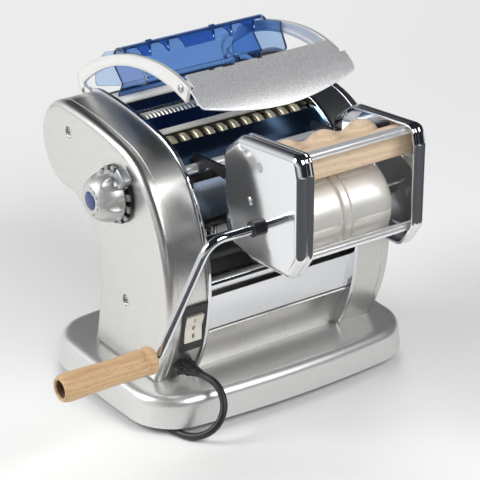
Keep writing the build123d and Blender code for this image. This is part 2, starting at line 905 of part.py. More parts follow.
with BuildPart() as cable_gland:
    with BuildSketch(gland_plane.offset(-gland_inside)):
        Circle(gland_radius)
    extrude(amount=gland_inside + gland_flange)
    with BuildSketch(gland_plane):
        Circle(gland_neck)
    extrude(amount=gland_length, taper=gland_draft)
    with BuildSketch(gland_plane.offset(-gland_inside)):
        Circle(cord_radius)
    extrude(amount=gland_inside + 2 * gland_length, mode=Mode.SUBTRACT)
save(cable_gland.part, "cable_gland")


# Cord: straight runs joined by tangent arcs, down to the table and under the base
def bend_radii(points):
    """For each corner, the arc that takes up most of its shorter run."""
    radii = []
    for before, corner, after in zip(points, points[1:], points[2:]):
        first = Vector(*corner) - Vector(*before)
        second = Vector(*after) - Vector(*corner)
        turn = first.get_angle(second)
        radii += [0.45 * min(first.length, second.length) / tan(radians(turn / 2))]
    return radii


gland_exit = gland_plane.offset(gland_reach).origin
cord_points = [tuple(gland_spot), tuple(gland_exit), *cord_route]
print("cord starts", cord_points[:2])
cord_radii = bend_radii(cord_points)
print("cord radii", [round(r, 1) for r in cord_radii])
with BuildPart() as cord:
    with BuildLine() as cord_line:
        FilletPolyline(*cord_points, radius=cord_radii)
    with BuildSketch(gland_plane):
        Circle(cord_radius)
    sweep()
save(cord.part, "cord")
cord_length = cord_line.wires()[0].length
print("cord length", round(cord_length, 1), "section times length", round(pi * cord_radius**2 * cord_length / 1000, 2))

with BuildPart() as cord_coil:
    with BuildSketch(Plane.XZ.offset(-coil_place[1])):
        with Locations(((coil_place[0] + (coil_inner + coil_outer) / 2), coil_height / 2)):
            RectangleRounded(coil_outer - coil_inner, coil_height, radius=cord_radius)
    revolve(axis=Axis((coil_place[0], coil_place[1], 0), (0, 0, 1)))
save(cord_coil.part, "cord_coil")

with BuildPart() as plug:
    with BuildSketch(Plane.YZ.offset(plug_place[0])):
        with Locations((plug_place[1], plug_radius)):
            Circle(plug_radius)
    extrude(amount=plug_body)
    with BuildSketch(Plane.YZ.offset(plug_place[0])):
        with Locations((plug_place[1], plug_radius)):
            Circle(plug_neck)
    extrude(amount=coil_place[0] + coil_outer - plug_place[0] - cord_radius)
    with BuildSketch(Plane.YZ.offset(plug_place[0] + plug_body)):
        with Locations((plug_place[1], plug_radius)):
            with GridLocations(pin_spacing, 1, 2, 1):
                Circle(pin_radius)
    extrude(amount=pin_length)
save(plug.part, "plug")


# Guard: two arms that turn on pins in the pods, with the visor and the hood between them
def guard_arm(side):
    with BuildPart() as piece:
        with BuildSketch(side_on(side * arm_inner)):
            with BuildLine():
                ThreePointArc(arm_root, arm_heel, arm_back)
                ThreePointArc(arm_back, arm_crest, arm_apex)
                ThreePointArc(arm_apex, arm_brow, arm_nose)
                Line(arm_nose, arm_tip)
                ThreePointArc(arm_tip, arm_belly, arm_arch)
                ThreePointArc(arm_arch, arm_haunch, arm_root_inner)
                Polyline(arm_root_inner, hinge, arm_root)
            make_face()
            with Locations(hinge):
                Circle(hinge_reach)
                Circle(hinge_pin + running, mode=Mode.SUBTRACT)
        extrude(amount=side * arm_width)
    return piece.part


save(guard_arm(-1), "left_guard_arm")
save(guard_arm(1), "right_guard_arm")


with BuildPart() as hinge_pins:
    for side in (-1, 1):
        with BuildSketch(side_on(side * (arm_inner - end_gap))):
            with Locations(hinge):
                Circle(hinge_pin)
        extrude(amount=side * (pod_inner + pin_depth - arm_inner + end_gap))
        with BuildSketch(side_on(side * (arm_inner - end_gap))):
            with Locations(hinge):
                Circle(2 * hinge_pin)
        extrude(amount=-side * pivot_head)
save(hinge_pins.part, "hinge_pins")

with BuildPart() as visor:
    with BuildSketch(side_on(-visor_half)):
        with BuildLine():
            ThreePointArc(visor_rear, visor_middle, visor_front)
            offset(amount=visor_sheet, side=Side.RIGHT)
        make_face()
    extrude(amount=2 * visor_half)
    with BuildSketch(Plane.XY):
        with BuildLine():
            Polyline(
                (-visor_side, visor_step),
                (-arm_inner, visor_step),
                (-arm_inner, visor_rear[0]),
                (arm_inner, visor_rear[0]),
                (arm_inner, visor_step),
                (visor_side, visor_step),
            )
            Line((visor_side, visor_step), (visor_side, visor_shoulder))
            ThreePointArc(
                (visor_side, visor_shoulder), (0, visor_front[0] - visor_bow), (-visor_side, visor_shoulder)
            )
            Line((-visor_side, visor_shoulder), (-visor_side, visor_step))
        make_face()
    extrude(amount=2 * arm_apex[1], mode=Mode.INTERSECT)
save(visor.part, "visor")


# The hood: a sheet rolled over at the top, between two cheeks that lie against the arms
hood_edge = polar(hood_centre, hood_roll, hood_lip)
hood_ridge = polar(hood_centre, hood_roll, 90)
hood_neck = polar(hood_centre, hood_roll, hood_turn)
scallops = (scallop_inset, scallop_next, scallop_last)
with BuildPart() as hood:
    with BuildSketch(side_on(-arm_inner)):
        with BuildLine():
            ThreePointArc(hood_edge, hood_ridge, hood_neck)
            Polyline(hood_neck, hood_crease, hood_foot)
            offset(amount=hood_sheet, side=Side.RIGHT)
        make_face()
    extrude(amount=2 * arm_inner)
    with BuildSketch(Plane.XZ.offset(-hood_centre[0])):
        with Locations(*[(side * (arm_inner - inset), hood_edge[1]) for side in (-1, 1) for inset in scallops]):
            Circle(scallop_radius)
    extrude(amount=hood_roll, mode=Mode.SUBTRACT)
    for left in (-arm_inner, arm_inner - hood_sheet):
        with BuildSketch(side_on(left)) as cheek:
            with BuildLine():
                Polyline(*cheek_points, close=True)
            make_face()
            fillet(cheek.vertices(), radius=cheek_round)
        extrude(amount=hood_sheet)
save(hood.part, "hood")

with BuildPart() as guard_screws:
    for side in (-1, 1):
        with BuildSketch(side_on(side * (arm_inner + arm_width))):
            with Locations(arm_screw):
                Circle(screw_head)
        extrude(amount=side * screw_shank / 2)
save(guard_screws.part, "guard_screws")


# Gnocchi attachment: two pans on rods, a drum, a wooden roller and a wooden board
def pan_face(inset):
    with BuildSketch() as face:
        with BuildLine():
            Polyline(*pan_points, close=True)
        make_face()
        fillet(face.vertices(), radius=pan_round)
        if inset:
            offset(amount=-inset, kind=Kind.INTERSECTION)
    return face.sketch


def attachment_pan(side):
    with BuildPart() as pan:
        with BuildSketch(side_on(side * plate_outer)):
            add(pan_face(0))
        extrude(amount=-side * pan_depth)
        outer = pan.faces().sort_by(Axis.X)[-1 if side > 0 else 0]
        fillet(outer.edges(), radius=pan_edge)
        with BuildSketch(side_on(side * (plate_outer - pan_wall))):
            add(pan_face(pan_wall))
        extrude(amount=-side * pan_depth, mode=Mode.SUBTRACT)
        with BuildSketch(side_on(side * (plate_outer - pan_wall))):
            with Locations(drum_place, wave_place):
                Circle(axle + running)
        extrude(amount=side * pan_wall, mode=Mode.SUBTRACT)
        with BuildSketch(side_on(side * (plate_outer - pan_wall))):
            add(hook_face())
        extrude(amount=-side * hook_sheet, mode=Mode.SUBTRACT)
    return pan.part


def hook_face():
    """A hook that lies inside a pan and reaches back over the hook rod."""
    with BuildSketch() as face:
        with BuildLine():
            Polyline(*hook_points, close=True)
        make_face()
        fillet(face.vertices().sort_by(Axis.X)[-2:], radius=hook_round)
        with Locations(rod_place):
            Circle(rod_radius + end_gap, mode=Mode.SUBTRACT)
        with Locations(rod_place):
            Rectangle(2 * (rod_radius + end_gap), hook_mouth, align=(Align.CENTER, Align.MAX), mode=Mode.SUBTRACT)
    return face.sketch


save(attachment_pan(-1), "left_pan")
save(attachment_pan(1), "right_pan")
rod_reach = plate_outer - pan_wall
with BuildPart() as hooks:
    for side in (-1, 1):
        with BuildSketch(side_on(side * rod_reach)):
            add(hook_face())
        extrude(amount=-side * hook_sheet)
save(hooks.part, "hooks")
with BuildPart() as pan_rods:
    with BuildSketch(side_on(-rod_reach)):
        with Locations(top_rod, low_rod):
            Circle(pan_rod)
    extrude(amount=2 * rod_reach)
save(pan_rods.part, "pan_rods")

with BuildPart() as board:
    with BuildSketch(side_on(-rod_reach)):
        with Locations(board_place):
            RectangleRounded(board_thickness, board_height, radius=board_round)
    extrude(amount=2 * rod_reach)
save(board.part, "board")

with BuildPart() as comb_plate:
    with BuildSketch(side_on(-rod_reach)):
        with Locations(comb_place):
            Rectangle(comb_depth, pan_wall, rotation=comb_angle)
        with Locations(low_rod):
            Circle(pan_rod, mode=Mode.SUBTRACT)
    extrude(amount=2 * rod_reach)
save(comb_plate.part, "comb_plate")

drum_line = Axis((0, drum_place[0], drum_place[1]), (1, 0, 0))
with BuildPart() as drum:
    add(shaft(drum_radius, drum_place, -drum_half, drum_half))
    fillet(drum.edges(), radius=drum_edge)
    with BuildSketch(across(drum_place)):
        with Locations((0, drum_radius)):
            Rectangle(drum_groove, 2 * drum_groove_depth)
    revolve(axis=drum_line, mode=Mode.SUBTRACT)
    add(shaft(axle, drum_place, -drum_half, plate_outer + axle_proud))
save(drum.part, "drum")

wave_line = Axis((0, wave_place[0], wave_place[1]), (1, 0, 0))
wave_mean = (wave_radius + wave_valley) / 2
wave_swing = (wave_radius - wave_valley) / 2
with BuildPart() as wooden_roller:
    with BuildSketch(across(wave_place)):
        with BuildLine():
            quarters = [i * wave_pitch / 4 for i in range(-5, 6)]
            crest = [(x, wave_mean + wave_swing * cos(2 * pi * x / wave_pitch)) for x in quarters]
            Spline(*crest)
            Polyline(crest[-1], (crest[-1][0], 0), (crest[0][0], 0), crest[0])
        make_face()
    revolve(axis=wave_line)
    add(shaft(axle, wave_place, -plate_outer, plate_outer))
save(wooden_roller.part, "wooden_roller")

with BuildPart() as crank_collar:
    with BuildSketch(side_on(-plate_outer)):
        with Locations(drum_place):
            Circle(collar_radius)
            Circle(crank_rod + running, mode=Mode.SUBTRACT)
    extrude(amount=-collar_length)
save(crank_collar.part, "crank_collar")


# Crank and its wooden grip
grip_place = crank_foot
crank_end = crank_tip_gap - grip_start - grip_length
with BuildPart() as crank:
    with BuildLine():
        FilletPolyline(
            (-drum_half, drum_place[0], drum_place[1]),
            (-crank_out, drum_place[0], drum_place[1]),
            (-crank_grip_x, crank_foot[0], crank_foot[1]),
            (crank_end, crank_foot[0], crank_foot[1]),
            radius=crank_bends,
        )
    with BuildSketch(side_on(-drum_half)):
        with Locations(drum_place):
            Circle(crank_rod)
    sweep()
    add(shaft(washer_radius, grip_place, crank_end, crank_end + washer_width))
save(crank.part, "crank")

with BuildPart() as grip:
    with BuildSketch(across(grip_place)):
        with BuildLine():
            swell = [(-grip_start - along, reach) for along, reach in grip_swell]
            Spline(*swell)
            Polyline(swell[-1], (swell[-1][0], 0), (swell[0][0], 0), swell[0])
        make_face()
        with Locations((-grip_start - grip_ring, grip_radius)):
            Circle(grip_bead, mode=Mode.SUBTRACT)
    revolve(axis=Axis((0, grip_place[0], grip_place[1]), (1, 0, 0)))
    with BuildSketch(side_on(-grip_start)):
        with Locations(grip_place):
            Circle(crank_rod + running)
    extrude(amount=-grip_length, mode=Mode.SUBTRACT)
    with BuildSketch(side_on(-grip_start - grip_length)):
        with Locations(grip_place):
            Circle(washer_radius + end_gap)
    extrude(amount=crank_tip_gap + washer_width + end_gap, mode=Mode.SUBTRACT)
save(grip.part, "grip")
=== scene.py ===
import bpy
import bmesh
from math import asin, atan2, cos, degrees, pi, radians, sin, sqrt
from mathutils import Matrix, Vector


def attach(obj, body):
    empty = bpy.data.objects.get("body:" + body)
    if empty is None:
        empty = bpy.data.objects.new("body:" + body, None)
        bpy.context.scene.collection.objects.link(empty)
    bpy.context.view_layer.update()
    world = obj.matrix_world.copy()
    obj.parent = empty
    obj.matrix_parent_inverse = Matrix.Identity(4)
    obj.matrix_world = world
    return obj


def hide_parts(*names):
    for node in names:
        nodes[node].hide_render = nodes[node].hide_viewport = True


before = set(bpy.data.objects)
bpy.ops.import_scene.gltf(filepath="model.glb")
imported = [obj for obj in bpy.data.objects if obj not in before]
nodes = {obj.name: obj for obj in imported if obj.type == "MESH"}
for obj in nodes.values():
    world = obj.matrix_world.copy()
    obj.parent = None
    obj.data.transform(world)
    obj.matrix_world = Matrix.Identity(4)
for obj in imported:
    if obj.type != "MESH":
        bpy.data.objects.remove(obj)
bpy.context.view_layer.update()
mm = 0.001
print("frame loaded:", len(nodes), "nodes")

# the camera, with its places in millimetres and its far limit in metres
camera = {
    "place": (-1040.8, -1508.9, 993.6), "target": (0.0, -15.0, 125.8), "lens": 169.1, "sensor": 36.0,
    "far": 20,
}


def link(piece):
    bpy.context.scene.collection.objects.link(piece)
    return piece


def aimed(start, target):
    # the rotation that makes a camera or a lamp at start face the target
    return (Vector(target) - Vector(start)).to_track_quat("-Z", "Y").to_euler()


def makeCamera(v):
    data = bpy.data.cameras.new("camera")
    data.lens = v["lens"]
    data.sensor_width = v["sensor"]
    data.clip_end = v["far"]
    view = link(bpy.data.objects.new("camera", data))
    view.location = Vector(v["place"]) * mm
    view.rotation_euler = aimed(v["place"], v["target"])
    bpy.context.scene.camera = view


makeCamera(camera)
print("camera placed")


# small helpers that every piece uses; v stands for a piece's own dictionary of values
def plainMesh(piece, name=None):
    # the evaluated object as a plain mesh, with nothing live left on it
    graph = bpy.context.evaluated_depsgraph_get()
    mesh = bpy.data.meshes.new_from_object(piece.evaluated_get(graph), depsgraph=graph)
    finished = link(bpy.data.objects.new(name or piece.name, mesh))
    bpy.data.objects.remove(piece, do_unlink=True)
    return finished


def smoothShade(piece, angle=35):
    piece.data.shade_smooth()
    piece.data.set_sharp_from_angle(angle=radians(angle))


def meshPiece(name, points, faces, finish=None, angle=35):
    mesh = bpy.data.meshes.new(name)
    mesh.from_pydata([Vector(p) * mm for p in points], [], faces)
    mesh.validate()
    work = bmesh.new()
    work.from_mesh(mesh)
    bmesh.ops.remove_doubles(work, verts=work.verts, dist=0.00001)
    bmesh.ops.recalc_face_normals(work, faces=work.faces)
    work.to_mesh(mesh)
    work.free()
    piece = link(bpy.data.objects.new(name, mesh))
    if finish:
        mesh.materials.append(materials[finish])
    smoothShade(piece, angle)
    return piece


# materials: shared effects are node groups, each material keeps its own Principled
def newGroup(name, inputs, outputs, kind="ShaderNodeTree"):
    # an input is a label, a kind of socket and, where it has one, its default
    group = bpy.data.node_groups.new(name, kind)
    for label, sort, *value in inputs:
        socket = group.interface.new_socket(label, in_out="INPUT", socket_type="NodeSocket" + sort)
        if value:
            socket.default_value = value[0]
    for label, sort in outputs:
        group.interface.new_socket(label, in_out="OUTPUT", socket_type="NodeSocket" + sort)
    source = group.nodes.new("NodeGroupInput")
    result = group.nodes.new("NodeGroupOutput")
    return group, source.outputs, result.inputs


def put(tree, kind, inputs=None, **options):
    # a node with its options; an input given as a socket is linked, any other value is set
    node = tree.nodes.new(kind)
    for key, value in options.items():
        setattr(node, key, value)
    for key, value in (inputs or {}).items():
        if isinstance(value, bpy.types.NodeSocket):
            tree.links.new(value, node.inputs[key])
        else:
            node.inputs[key].default_value = value
    return node


def calc(tree, operation, *values, kind="ShaderNodeMath", **options):
    return put(tree, kind, dict(enumerate(values)), operation=operation, **options).outputs[0]


def scaledVector(tree, vector, scale):
    return calc(tree, "MULTIPLY", vector, scale, kind="ShaderNodeVectorMath")


def ranged(tree, value, low, high, ends="From"):
    # Map Range with its From or its To limits set
    limits = {"Value": value, ends + " Min": low, ends + " Max": high}
    return put(tree, "ShaderNodeMapRange", limits).outputs["Result"]


def noise(tree, vector, **inputs):
    return put(tree, "ShaderNodeTexNoise", {"Vector": vector, **inputs}).outputs["Fac"]


def objectCoords(tree):
    return put(tree, "ShaderNodeTexCoord").outputs["Object"]


def joinUp(tree, *pairs):
    for start, end in pairs:
        tree.links.new(start, end)


surfaceOutputs = [("Color", "Color"), ("Roughness", "Float"), ("Height", "Float")]


def makeFlakeGroup():
    # metallic paint: fine flakes with a painted glint, each flake's colour made lighter or darker at random,
    # and a soft change of tone over the panel
    group, source, result = newGroup(
        "paintFlake",
        [("Color", "Color", (0.7, 0.7, 0.7, 1)), ("Flake Scale", "Float", 2600),
         ("Glint", "Float", 0.12), ("Roughness", "Float", 0.32), ("Drift", "Float", 0.05)],
        surfaceOutputs,
    )
    toneDetail, toneScale, glintOnRoughness = 3.0, 9.0, 0.2
    coords = objectCoords(group)
    flakeInputs = {"Vector": coords, "Scale": source["Flake Scale"]}
    flake = put(group, "ShaderNodeTexVoronoi", flakeInputs, feature="F1")
    red = put(group, "ShaderNodeSeparateColor", {"Color": flake.outputs["Color"]}).outputs[0]
    # painted glint: each flake's colour is scaled up or down, whatever light falls on it
    glint = calc(group, "MULTIPLY", ranged(group, red, -1, 1, "To"), source["Glint"])
    soft = noise(group, coords, Scale=toneScale, Detail=toneDetail)
    drift = calc(group, "MULTIPLY", ranged(group, soft, -1, 1, "To"), source["Drift"])
    tone = calc(group, "ADD", calc(group, "ADD", glint, drift), 1)
    color = put(group, "ShaderNodeVectorMath", {0: source["Color"], "Scale": tone}, operation="SCALE")
    rough = calc(group, "MULTIPLY_ADD", glint, glintOnRoughness, source["Roughness"])
    height = noise(group, coords, Scale=source["Flake Scale"], Detail=2.0)
    joinUp(group, (color.outputs[0], result["Color"]), (rough, result["Roughness"]),
           (height, result["Height"]))
    return group


def makeSmudgeGroup():
    # polished metal: faint wipe marks and hairlines that only show in the gloss
    group, source, result = newGroup(
        "polishMarks",
        [("Roughness", "Float", 0.08), ("Marks", "Float", 0.06), ("Scale", "Float", 22),
         ("Stretch", "Vector", (1, 1, 1))],
        surfaceOutputs[1:],
    )
    cloudFrom, cloudTo, hairScale = 0.35, 0.75, 900.0
    coords = objectCoords(group)
    cloud = noise(group, coords, Scale=source["Scale"], Detail=4.0, Roughness=0.6)
    marks = ranged(group, cloud, cloudFrom, cloudTo)
    rough = calc(group, "MULTIPLY_ADD", marks, source["Marks"], source["Roughness"])
    hair = noise(group, scaledVector(group, coords, source["Stretch"]), Scale=hairScale, Detail=2.0)
    joinUp(group, (rough, result["Roughness"]), (hair, result["Height"]))
    return group


def makeGrainGroup():
    # beech: long fibres along X, rings across it and short dark flecks
    group, source, result = newGroup(
        "beechGrain",
        [("Light", "Color", (0.8, 0.6, 0.4, 1)), ("Dark", "Color", (0.6, 0.4, 0.24, 1)),
         ("Ring Scale", "Float", 60), ("Fleck", "Float", 0.35), ("Offset", "Vector", (0, 0, 0))],
        surfaceOutputs,
    )
    fibreStretch, fleckStretch = (0.12, 1, 1), (0.09, 1, 0.6)
    fleckFrom, fleckTo, ringShare = 0.60, 0.72, 0.9
    fibreScale, fleckScale, smooth, fibreOnRoughness = 900.0, 1500.0, 0.42, 0.18
    moved = calc(group, "ADD", objectCoords(group), source["Offset"], kind="ShaderNodeVectorMath")
    longWay = scaledVector(group, moved, fibreStretch)
    ringInputs = {"Vector": longWay, "Scale": source["Ring Scale"], "Distortion": 7.0, "Detail": 3.0,
                  "Detail Scale": 1.4}
    rings = put(group, "ShaderNodeTexWave", ringInputs, wave_type="BANDS", bands_direction="Z")
    fibre = noise(group, longWay, Scale=fibreScale, Detail=5.0)
    fleck = noise(group, scaledVector(group, moved, fleckStretch), Scale=fleckScale, Detail=1.0)
    ringPart = calc(group, "MULTIPLY", calc(group, "MULTIPLY", rings.outputs["Fac"], fibre), ringShare)
    fleckPart = calc(group, "MULTIPLY", ranged(group, fleck, fleckFrom, fleckTo), source["Fleck"])
    dark = calc(group, "ADD", ringPart, fleckPart, use_clamp=True)
    shades = {"Factor": dark, "A": source["Light"], "B": source["Dark"]}
    color = put(group, "ShaderNodeMix", shades, data_type="RGBA").outputs["Result"]
    rough = calc(group, "MULTIPLY_ADD", fibre, fibreOnRoughness, smooth)
    joinUp(group, (color, result["Color"]), (rough, result["Roughness"]), (fibre, result["Height"]))
    return group


groups = {"flake": makeFlakeGroup(), "marks": makeSmudgeGroup(), "grain": makeGrainGroup()}


def newMaterial(name, values):
    # a material whose Principled has the given inputs
    material = bpy.data.materials.new(name)
    material.use_nodes = True
    tree = material.node_tree
    tree.nodes.clear()
    shader = put(tree, "ShaderNodeBsdfPrincipled", values)
    put(tree, "ShaderNodeOutputMaterial", {0: shader.outputs[0]})
    return material


def surfaced(material, group, values, bump=0.0, distance=0.0002):
    # places a group with its values and feeds the Principled from it; without a bump it feeds only the colour
    tree = material.node_tree
    shader = tree.nodes["Principled BSDF"]
    node = put(tree, "ShaderNodeGroup", node_tree=groups[group])
    for key, value in values.items():
        node.inputs[key].default_value = value
    for label, target in (("Color", "Base Color"), ("Roughness", "Roughness")):
        if label in node.outputs and (bump or label == "Color"):
            tree.links.new(node.outputs[label], shader.inputs[target])
    if bump:
        height = {"Strength": bump, "Distance": distance, "Height": node.outputs["Height"]}
        tree.links.new(put(tree, "ShaderNodeBump", height).outputs[0], shader.inputs["Normal"])
    return material


def flakeValues(color, roughness, glint, drift, scale=2600.0):
    return {"Color": (*color, 1), "Roughness": roughness, "Glint": glint, "Drift": drift,
            "Flake Scale": scale}


def makePaint(name, color, roughness, glint, metallic=0.75, scale=2600.0):
    paint = newMaterial(name, {"Metallic": metallic, "Coat Weight": 0.35, "Coat Roughness": 0.18})
    return surfaced(paint, "flake", flakeValues(color, roughness, glint, 0.015, scale), 0.1, 0.00005)


def makeMetal(name, color, roughness, marks, stretch=(1, 1, 1), bump=0.02, metallic=1.0):
    metal = newMaterial(name, {"Base Color": (*color, 1), "Metallic": metallic})
    return surfaced(metal, "marks", {"Roughness": roughness, "Marks": marks, "Stretch": stretch}, bump)


def makeWood(name, light, dark, ringScale, fleck, offset=(0, 0, 0)):
    values = {"Light": (*light, 1), "Dark": (*dark, 1), "Ring Scale": ringScale, "Fleck": fleck,
              "Offset": offset}
    return surfaced(newMaterial(name, {}), "grain", values, 0.15)


def makePlastic(name, color, roughness, bump=0.05, coat=0.0):
    plastic = newMaterial(name, {"Coat Weight": coat})
    return surfaced(plastic, "flake", flakeValues(color, roughness, 0.03, 0.06, 1400.0), bump)


def makeClear(name, color, roughness):
    # glass keeps its roughness plain, so only the colour comes from the group
    clear = newMaterial(name, {"Roughness": roughness, "IOR": 1.35, "Transmission Weight": 0.94,
                               "Coat Weight": 0.5, "Coat Roughness": 0.03})
    return surfaced(clear, "flake", flakeValues(color, roughness, 0.0, 0.08))


# what a user would change: the colour, roughness and glint or marks of each finish
materials = {
    "silver": makePaint("silverPaint", (0.72, 0.71, 0.685), 0.31, 0.14, 1.0),
    "footSilver": makePaint("footPaint", (0.70, 0.70, 0.69), 0.34, 0.10),
    "visorSilver": makePaint("visorPaint", (0.80, 0.80, 0.81), 0.34, 0.20, 0.55, 1700.0),
    "dialSilver": makePaint("dialPaint", (0.60, 0.60, 0.59), 0.42, 0.05),
    "armWhite": makePaint("armPaint", (0.84, 0.84, 0.82), 0.34, 0.05, 0.55),
    "chrome": makeMetal("mirrorChrome", (0.80, 0.81, 0.83), 0.035, 0.03),
    "panChrome": makeMetal("panChrome", (0.80, 0.81, 0.83), 0.085, 0.03),
    "steel": makeMetal("groundSteel", (0.62, 0.63, 0.65), 0.24, 0.05, (0.04, 1, 1), 0.015),
    "drumSteel": makeMetal("brushedDrum", (0.88, 0.865, 0.82), 0.30, 0.06, (0.02, 1, 1), 0.10, 0.55),
    "coverSteel": makeMetal("coverSteel", (0.13, 0.16, 0.21), 0.26, 0.04, (0.04, 1, 1), 0.015),
    "rodSteel": makeMetal("rodSteel", (0.88, 0.88, 0.89), 0.16, 0.03, metallic=0.62),
    # dark steel for the hooks; on the cutter shafts, which show between the rings, the dark colour is painted
    # shade for the gaps
    "darkSteel": makeMetal("darkSteel", (0.10, 0.10, 0.11), 0.35, 0.06),
    "ringSteel": makeMetal("ringSteel", (0.80, 0.78, 0.72), 0.28, 0.05, metallic=0.6),
    "ringBrass": makeMetal("ringBrass", (0.80, 0.72, 0.52), 0.28, 0.05, metallic=0.6),
    "deck": makeMetal("blueDeck", (0.13, 0.21, 0.36), 0.16, 0.05),
    "brass": makeMetal("turnedBrass", (0.76, 0.60, 0.30), 0.24, 0.06),
    "castMetal": makeMetal("castAluminium", (0.45, 0.46, 0.47), 0.45, 0.10, bump=0.3),
    "paleBeech": makeWood("paleBeech", (0.67, 0.52, 0.37), (0.50, 0.36, 0.24), 55, 0.5),
    "gripBeech": makeWood("gripBeech", (0.63, 0.42, 0.23), (0.42, 0.25, 0.12), 80, 0.7, (0.3, 0.1, 0.2)),
    # the grip's beech darkened for the inside of its bore: painted shade in the hollow
    "boreBeech": makeWood("boreBeech", (0.16, 0.09, 0.045), (0.09, 0.05, 0.025), 80, 0.5, (0.3, 0.1, 0.2)),
    "ivory": makePlastic("ivoryNylon", (0.80, 0.79, 0.74), 0.38),
    "rockerIvory": makePlastic("rockerIvory", (0.70, 0.66, 0.58), 0.4),
    "black": makePlastic("blackPlastic", (0.018, 0.018, 0.02), 0.34, 0.12),
    "rubber": makePlastic("blackRubber", (0.010, 0.012, 0.014), 0.42, 0.1),
    "ink": makePlastic("markInk", (0.012, 0.012, 0.014), 0.5),
    "blueCap": makePlastic("blueCapPlastic", (0.018, 0.045, 0.17), 0.25, 0.02, 0.2),
    # dark blue for thin tubes on the hood's scallop edges: painted shade for the darker look of the clear
    # sheet's cut edges
    "blueEdgeShade": makePlastic("hoodEdge", (0.02, 0.05, 0.16), 0.2, 0.02, 0.5),
    "blueClear": makeClear("blueClearPlastic", (0.16, 0.33, 0.74), 0.04),
    "paleClear": makeClear("cheekClearPlastic", (0.50, 0.66, 0.90), 0.04),
}
finishes = {
    "silver": ["left_pod", "right_pod", "dial", "left_guard_arm", "right_guard_arm", "visor", "lower_skirt"],
    "footSilver": ["base_tray", "rear_cover"],
    "chrome": ["left_side_plate", "right_side_plate", "chrome_strip", "chute_plate", "left_pan", "right_pan",
               "crank", "pod_screws", "guard_screws", "hinge_pins", "steel_roll"],
    # the cutter shafts carry painted shade: they show only in the gaps between the rings
    "darkSteel": ["hooks", "fine_cutter", "fine_cutter_pair", "wide_cutter", "wide_cutter_pair"],
    "coverSteel": ["front_cover"],
    "rodSteel": ["hook_rod", "pan_rods"],
    "steel": ["front_roller", "rear_roller", "stub_shafts", "motor", "comb_plate", "motor_pinion"],
    "drumSteel": ["drum"],
    "deck": ["deck"],
    "brass": ["bushes"],
    "castMetal": ["gearbox"],
    "paleBeech": ["board", "wooden_roller"],
    "gripBeech": ["grip"],
    "ivory": ["cream_plate", "stop_bar", "branch_gear", "link_gear", "idler_gear"],
    "rockerIvory": ["rocker"],
    "black": ["base_plate", "index_ring", "switch_bezel", "cable_gland", "crank_collar", "cord", "cord_coil",
              "plug"],
    "rubber": ["rubber_feet", "dark_roll"],
    "blueCap": ["dial_cap"],
    "blueClear": ["hood"],
}


def dress(piece, finish):
    piece.data.materials.clear()
    piece.data.materials.append(materials[finish])


for finish, names in finishes.items():
    for name in names:
        dress(nodes[name], finish)
print("materials made:", len(materials))


# outlines in the YZ plane, in millimetres, and solids made from them
def arcPoints(centre, radius, first, sweep, steps):
    angles = [first + sweep * i / steps for i in range(steps + 1)]
    return [(centre[0] + radius * cos(angle), centre[1] + radius * sin(angle)) for angle in angles]


def arcThrough(start, middle, end, steps=16):
    # an arc through three points; gives its points and last heading
    (ax, ay), (bx, by), (cx, cy) = start, middle, end
    split = 2 * (ax * (by - cy) + bx * (cy - ay) + cx * (ay - by))
    aa, bb, cc = ax * ax + ay * ay, bx * bx + by * by, cx * cx + cy * cy
    ox = (aa * (by - cy) + bb * (cy - ay) + cc * (ay - by)) / split
    oy = (aa * (cx - bx) + bb * (ax - cx) + cc * (bx - ax)) / split
    turn = 1 if (bx - ax) * (cy - ay) - (by - ay) * (cx - ax) > 0 else -1
    first = atan2(ay - oy, ax - ox)
    sweep = turn * ((turn * (atan2(cy - oy, cx - ox) - first)) % (2 * pi))
    radius = sqrt((ax - ox) ** 2 + (ay - oy) ** 2)
    return arcPoints((ox, oy), radius, first, sweep, steps), first + sweep + turn * pi / 2


def arcAlong(start, end, heading, steps=16):
    # an arc that leaves start along the heading and ends at end; gives its points and last heading
    dx, dy = end[0] - start[0], end[1] - start[1]
    bend = (atan2(dy, dx) - heading + pi) % (2 * pi) - pi
    if abs(bend) < 0.0001:
        return [start, end], heading
    radius = sqrt(dx * dx + dy * dy) / (2 * sin(bend))
    ox, oy = start[0] - radius * sin(heading), start[1] + radius * cos(heading)
    first = atan2(start[1] - oy, start[0] - ox)
    return arcPoints((ox, oy), abs(radius), first, 2 * bend, steps), heading + 2 * bend


def chain(*runs):
    # runs of points as one outline, without the points that two runs share
    points = []
    for run in runs:
        for point in run:
            if not points or abs(point[0] - points[-1][0]) + abs(point[1] - points[-1][1]) > 0.001:
                points.append(point)
    return points


def grown(points, amount):
    # a closed outline moved outward by an amount, whichever way round it runs
    if not amount:
        return list(points)
    after = points[1:] + points[:1]
    area = sum(x * ny - nx * y for (x, y), (nx, ny) in zip(points, after))
    side = 1 if area > 0 else -1
    moved = []
    for i, (x, y) in enumerate(points):
        (px, py), (nx, ny) = points[i - 1], after[i]
        a = Vector((y - py, px - x)).normalized()
        b = Vector((ny - y, x - nx)).normalized()
        middle = (a + b).normalized()
        reach = side * amount / max(middle.dot(a), 0.4)
        moved.append((x + middle.x * reach, y + middle.y * reach))
    return moved


def smoothed(outline, radius, steps=6):
    # rounds each corner of a closed polygon with straight sides
    points = []
    count = len(outline)
    for i in range(count):
        before, here, after = Vector(outline[i - 1]), Vector(outline[i]), Vector(outline[(i + 1) % count])
        back, ahead = (before - here), (after - here)
        half = back.angle(ahead) / 2
        cut = min(radius / max(sin(half) / cos(half), 0.01), back.length / 2.1, ahead.length / 2.1)
        start, end = here + back.normalized() * cut, here + ahead.normalized() * cut
        for j in range(steps + 1):
            t = j / steps
            points.append(tuple(start * (1 - t) ** 2 + here * 2 * t * (1 - t) + end * t * t))
    return points


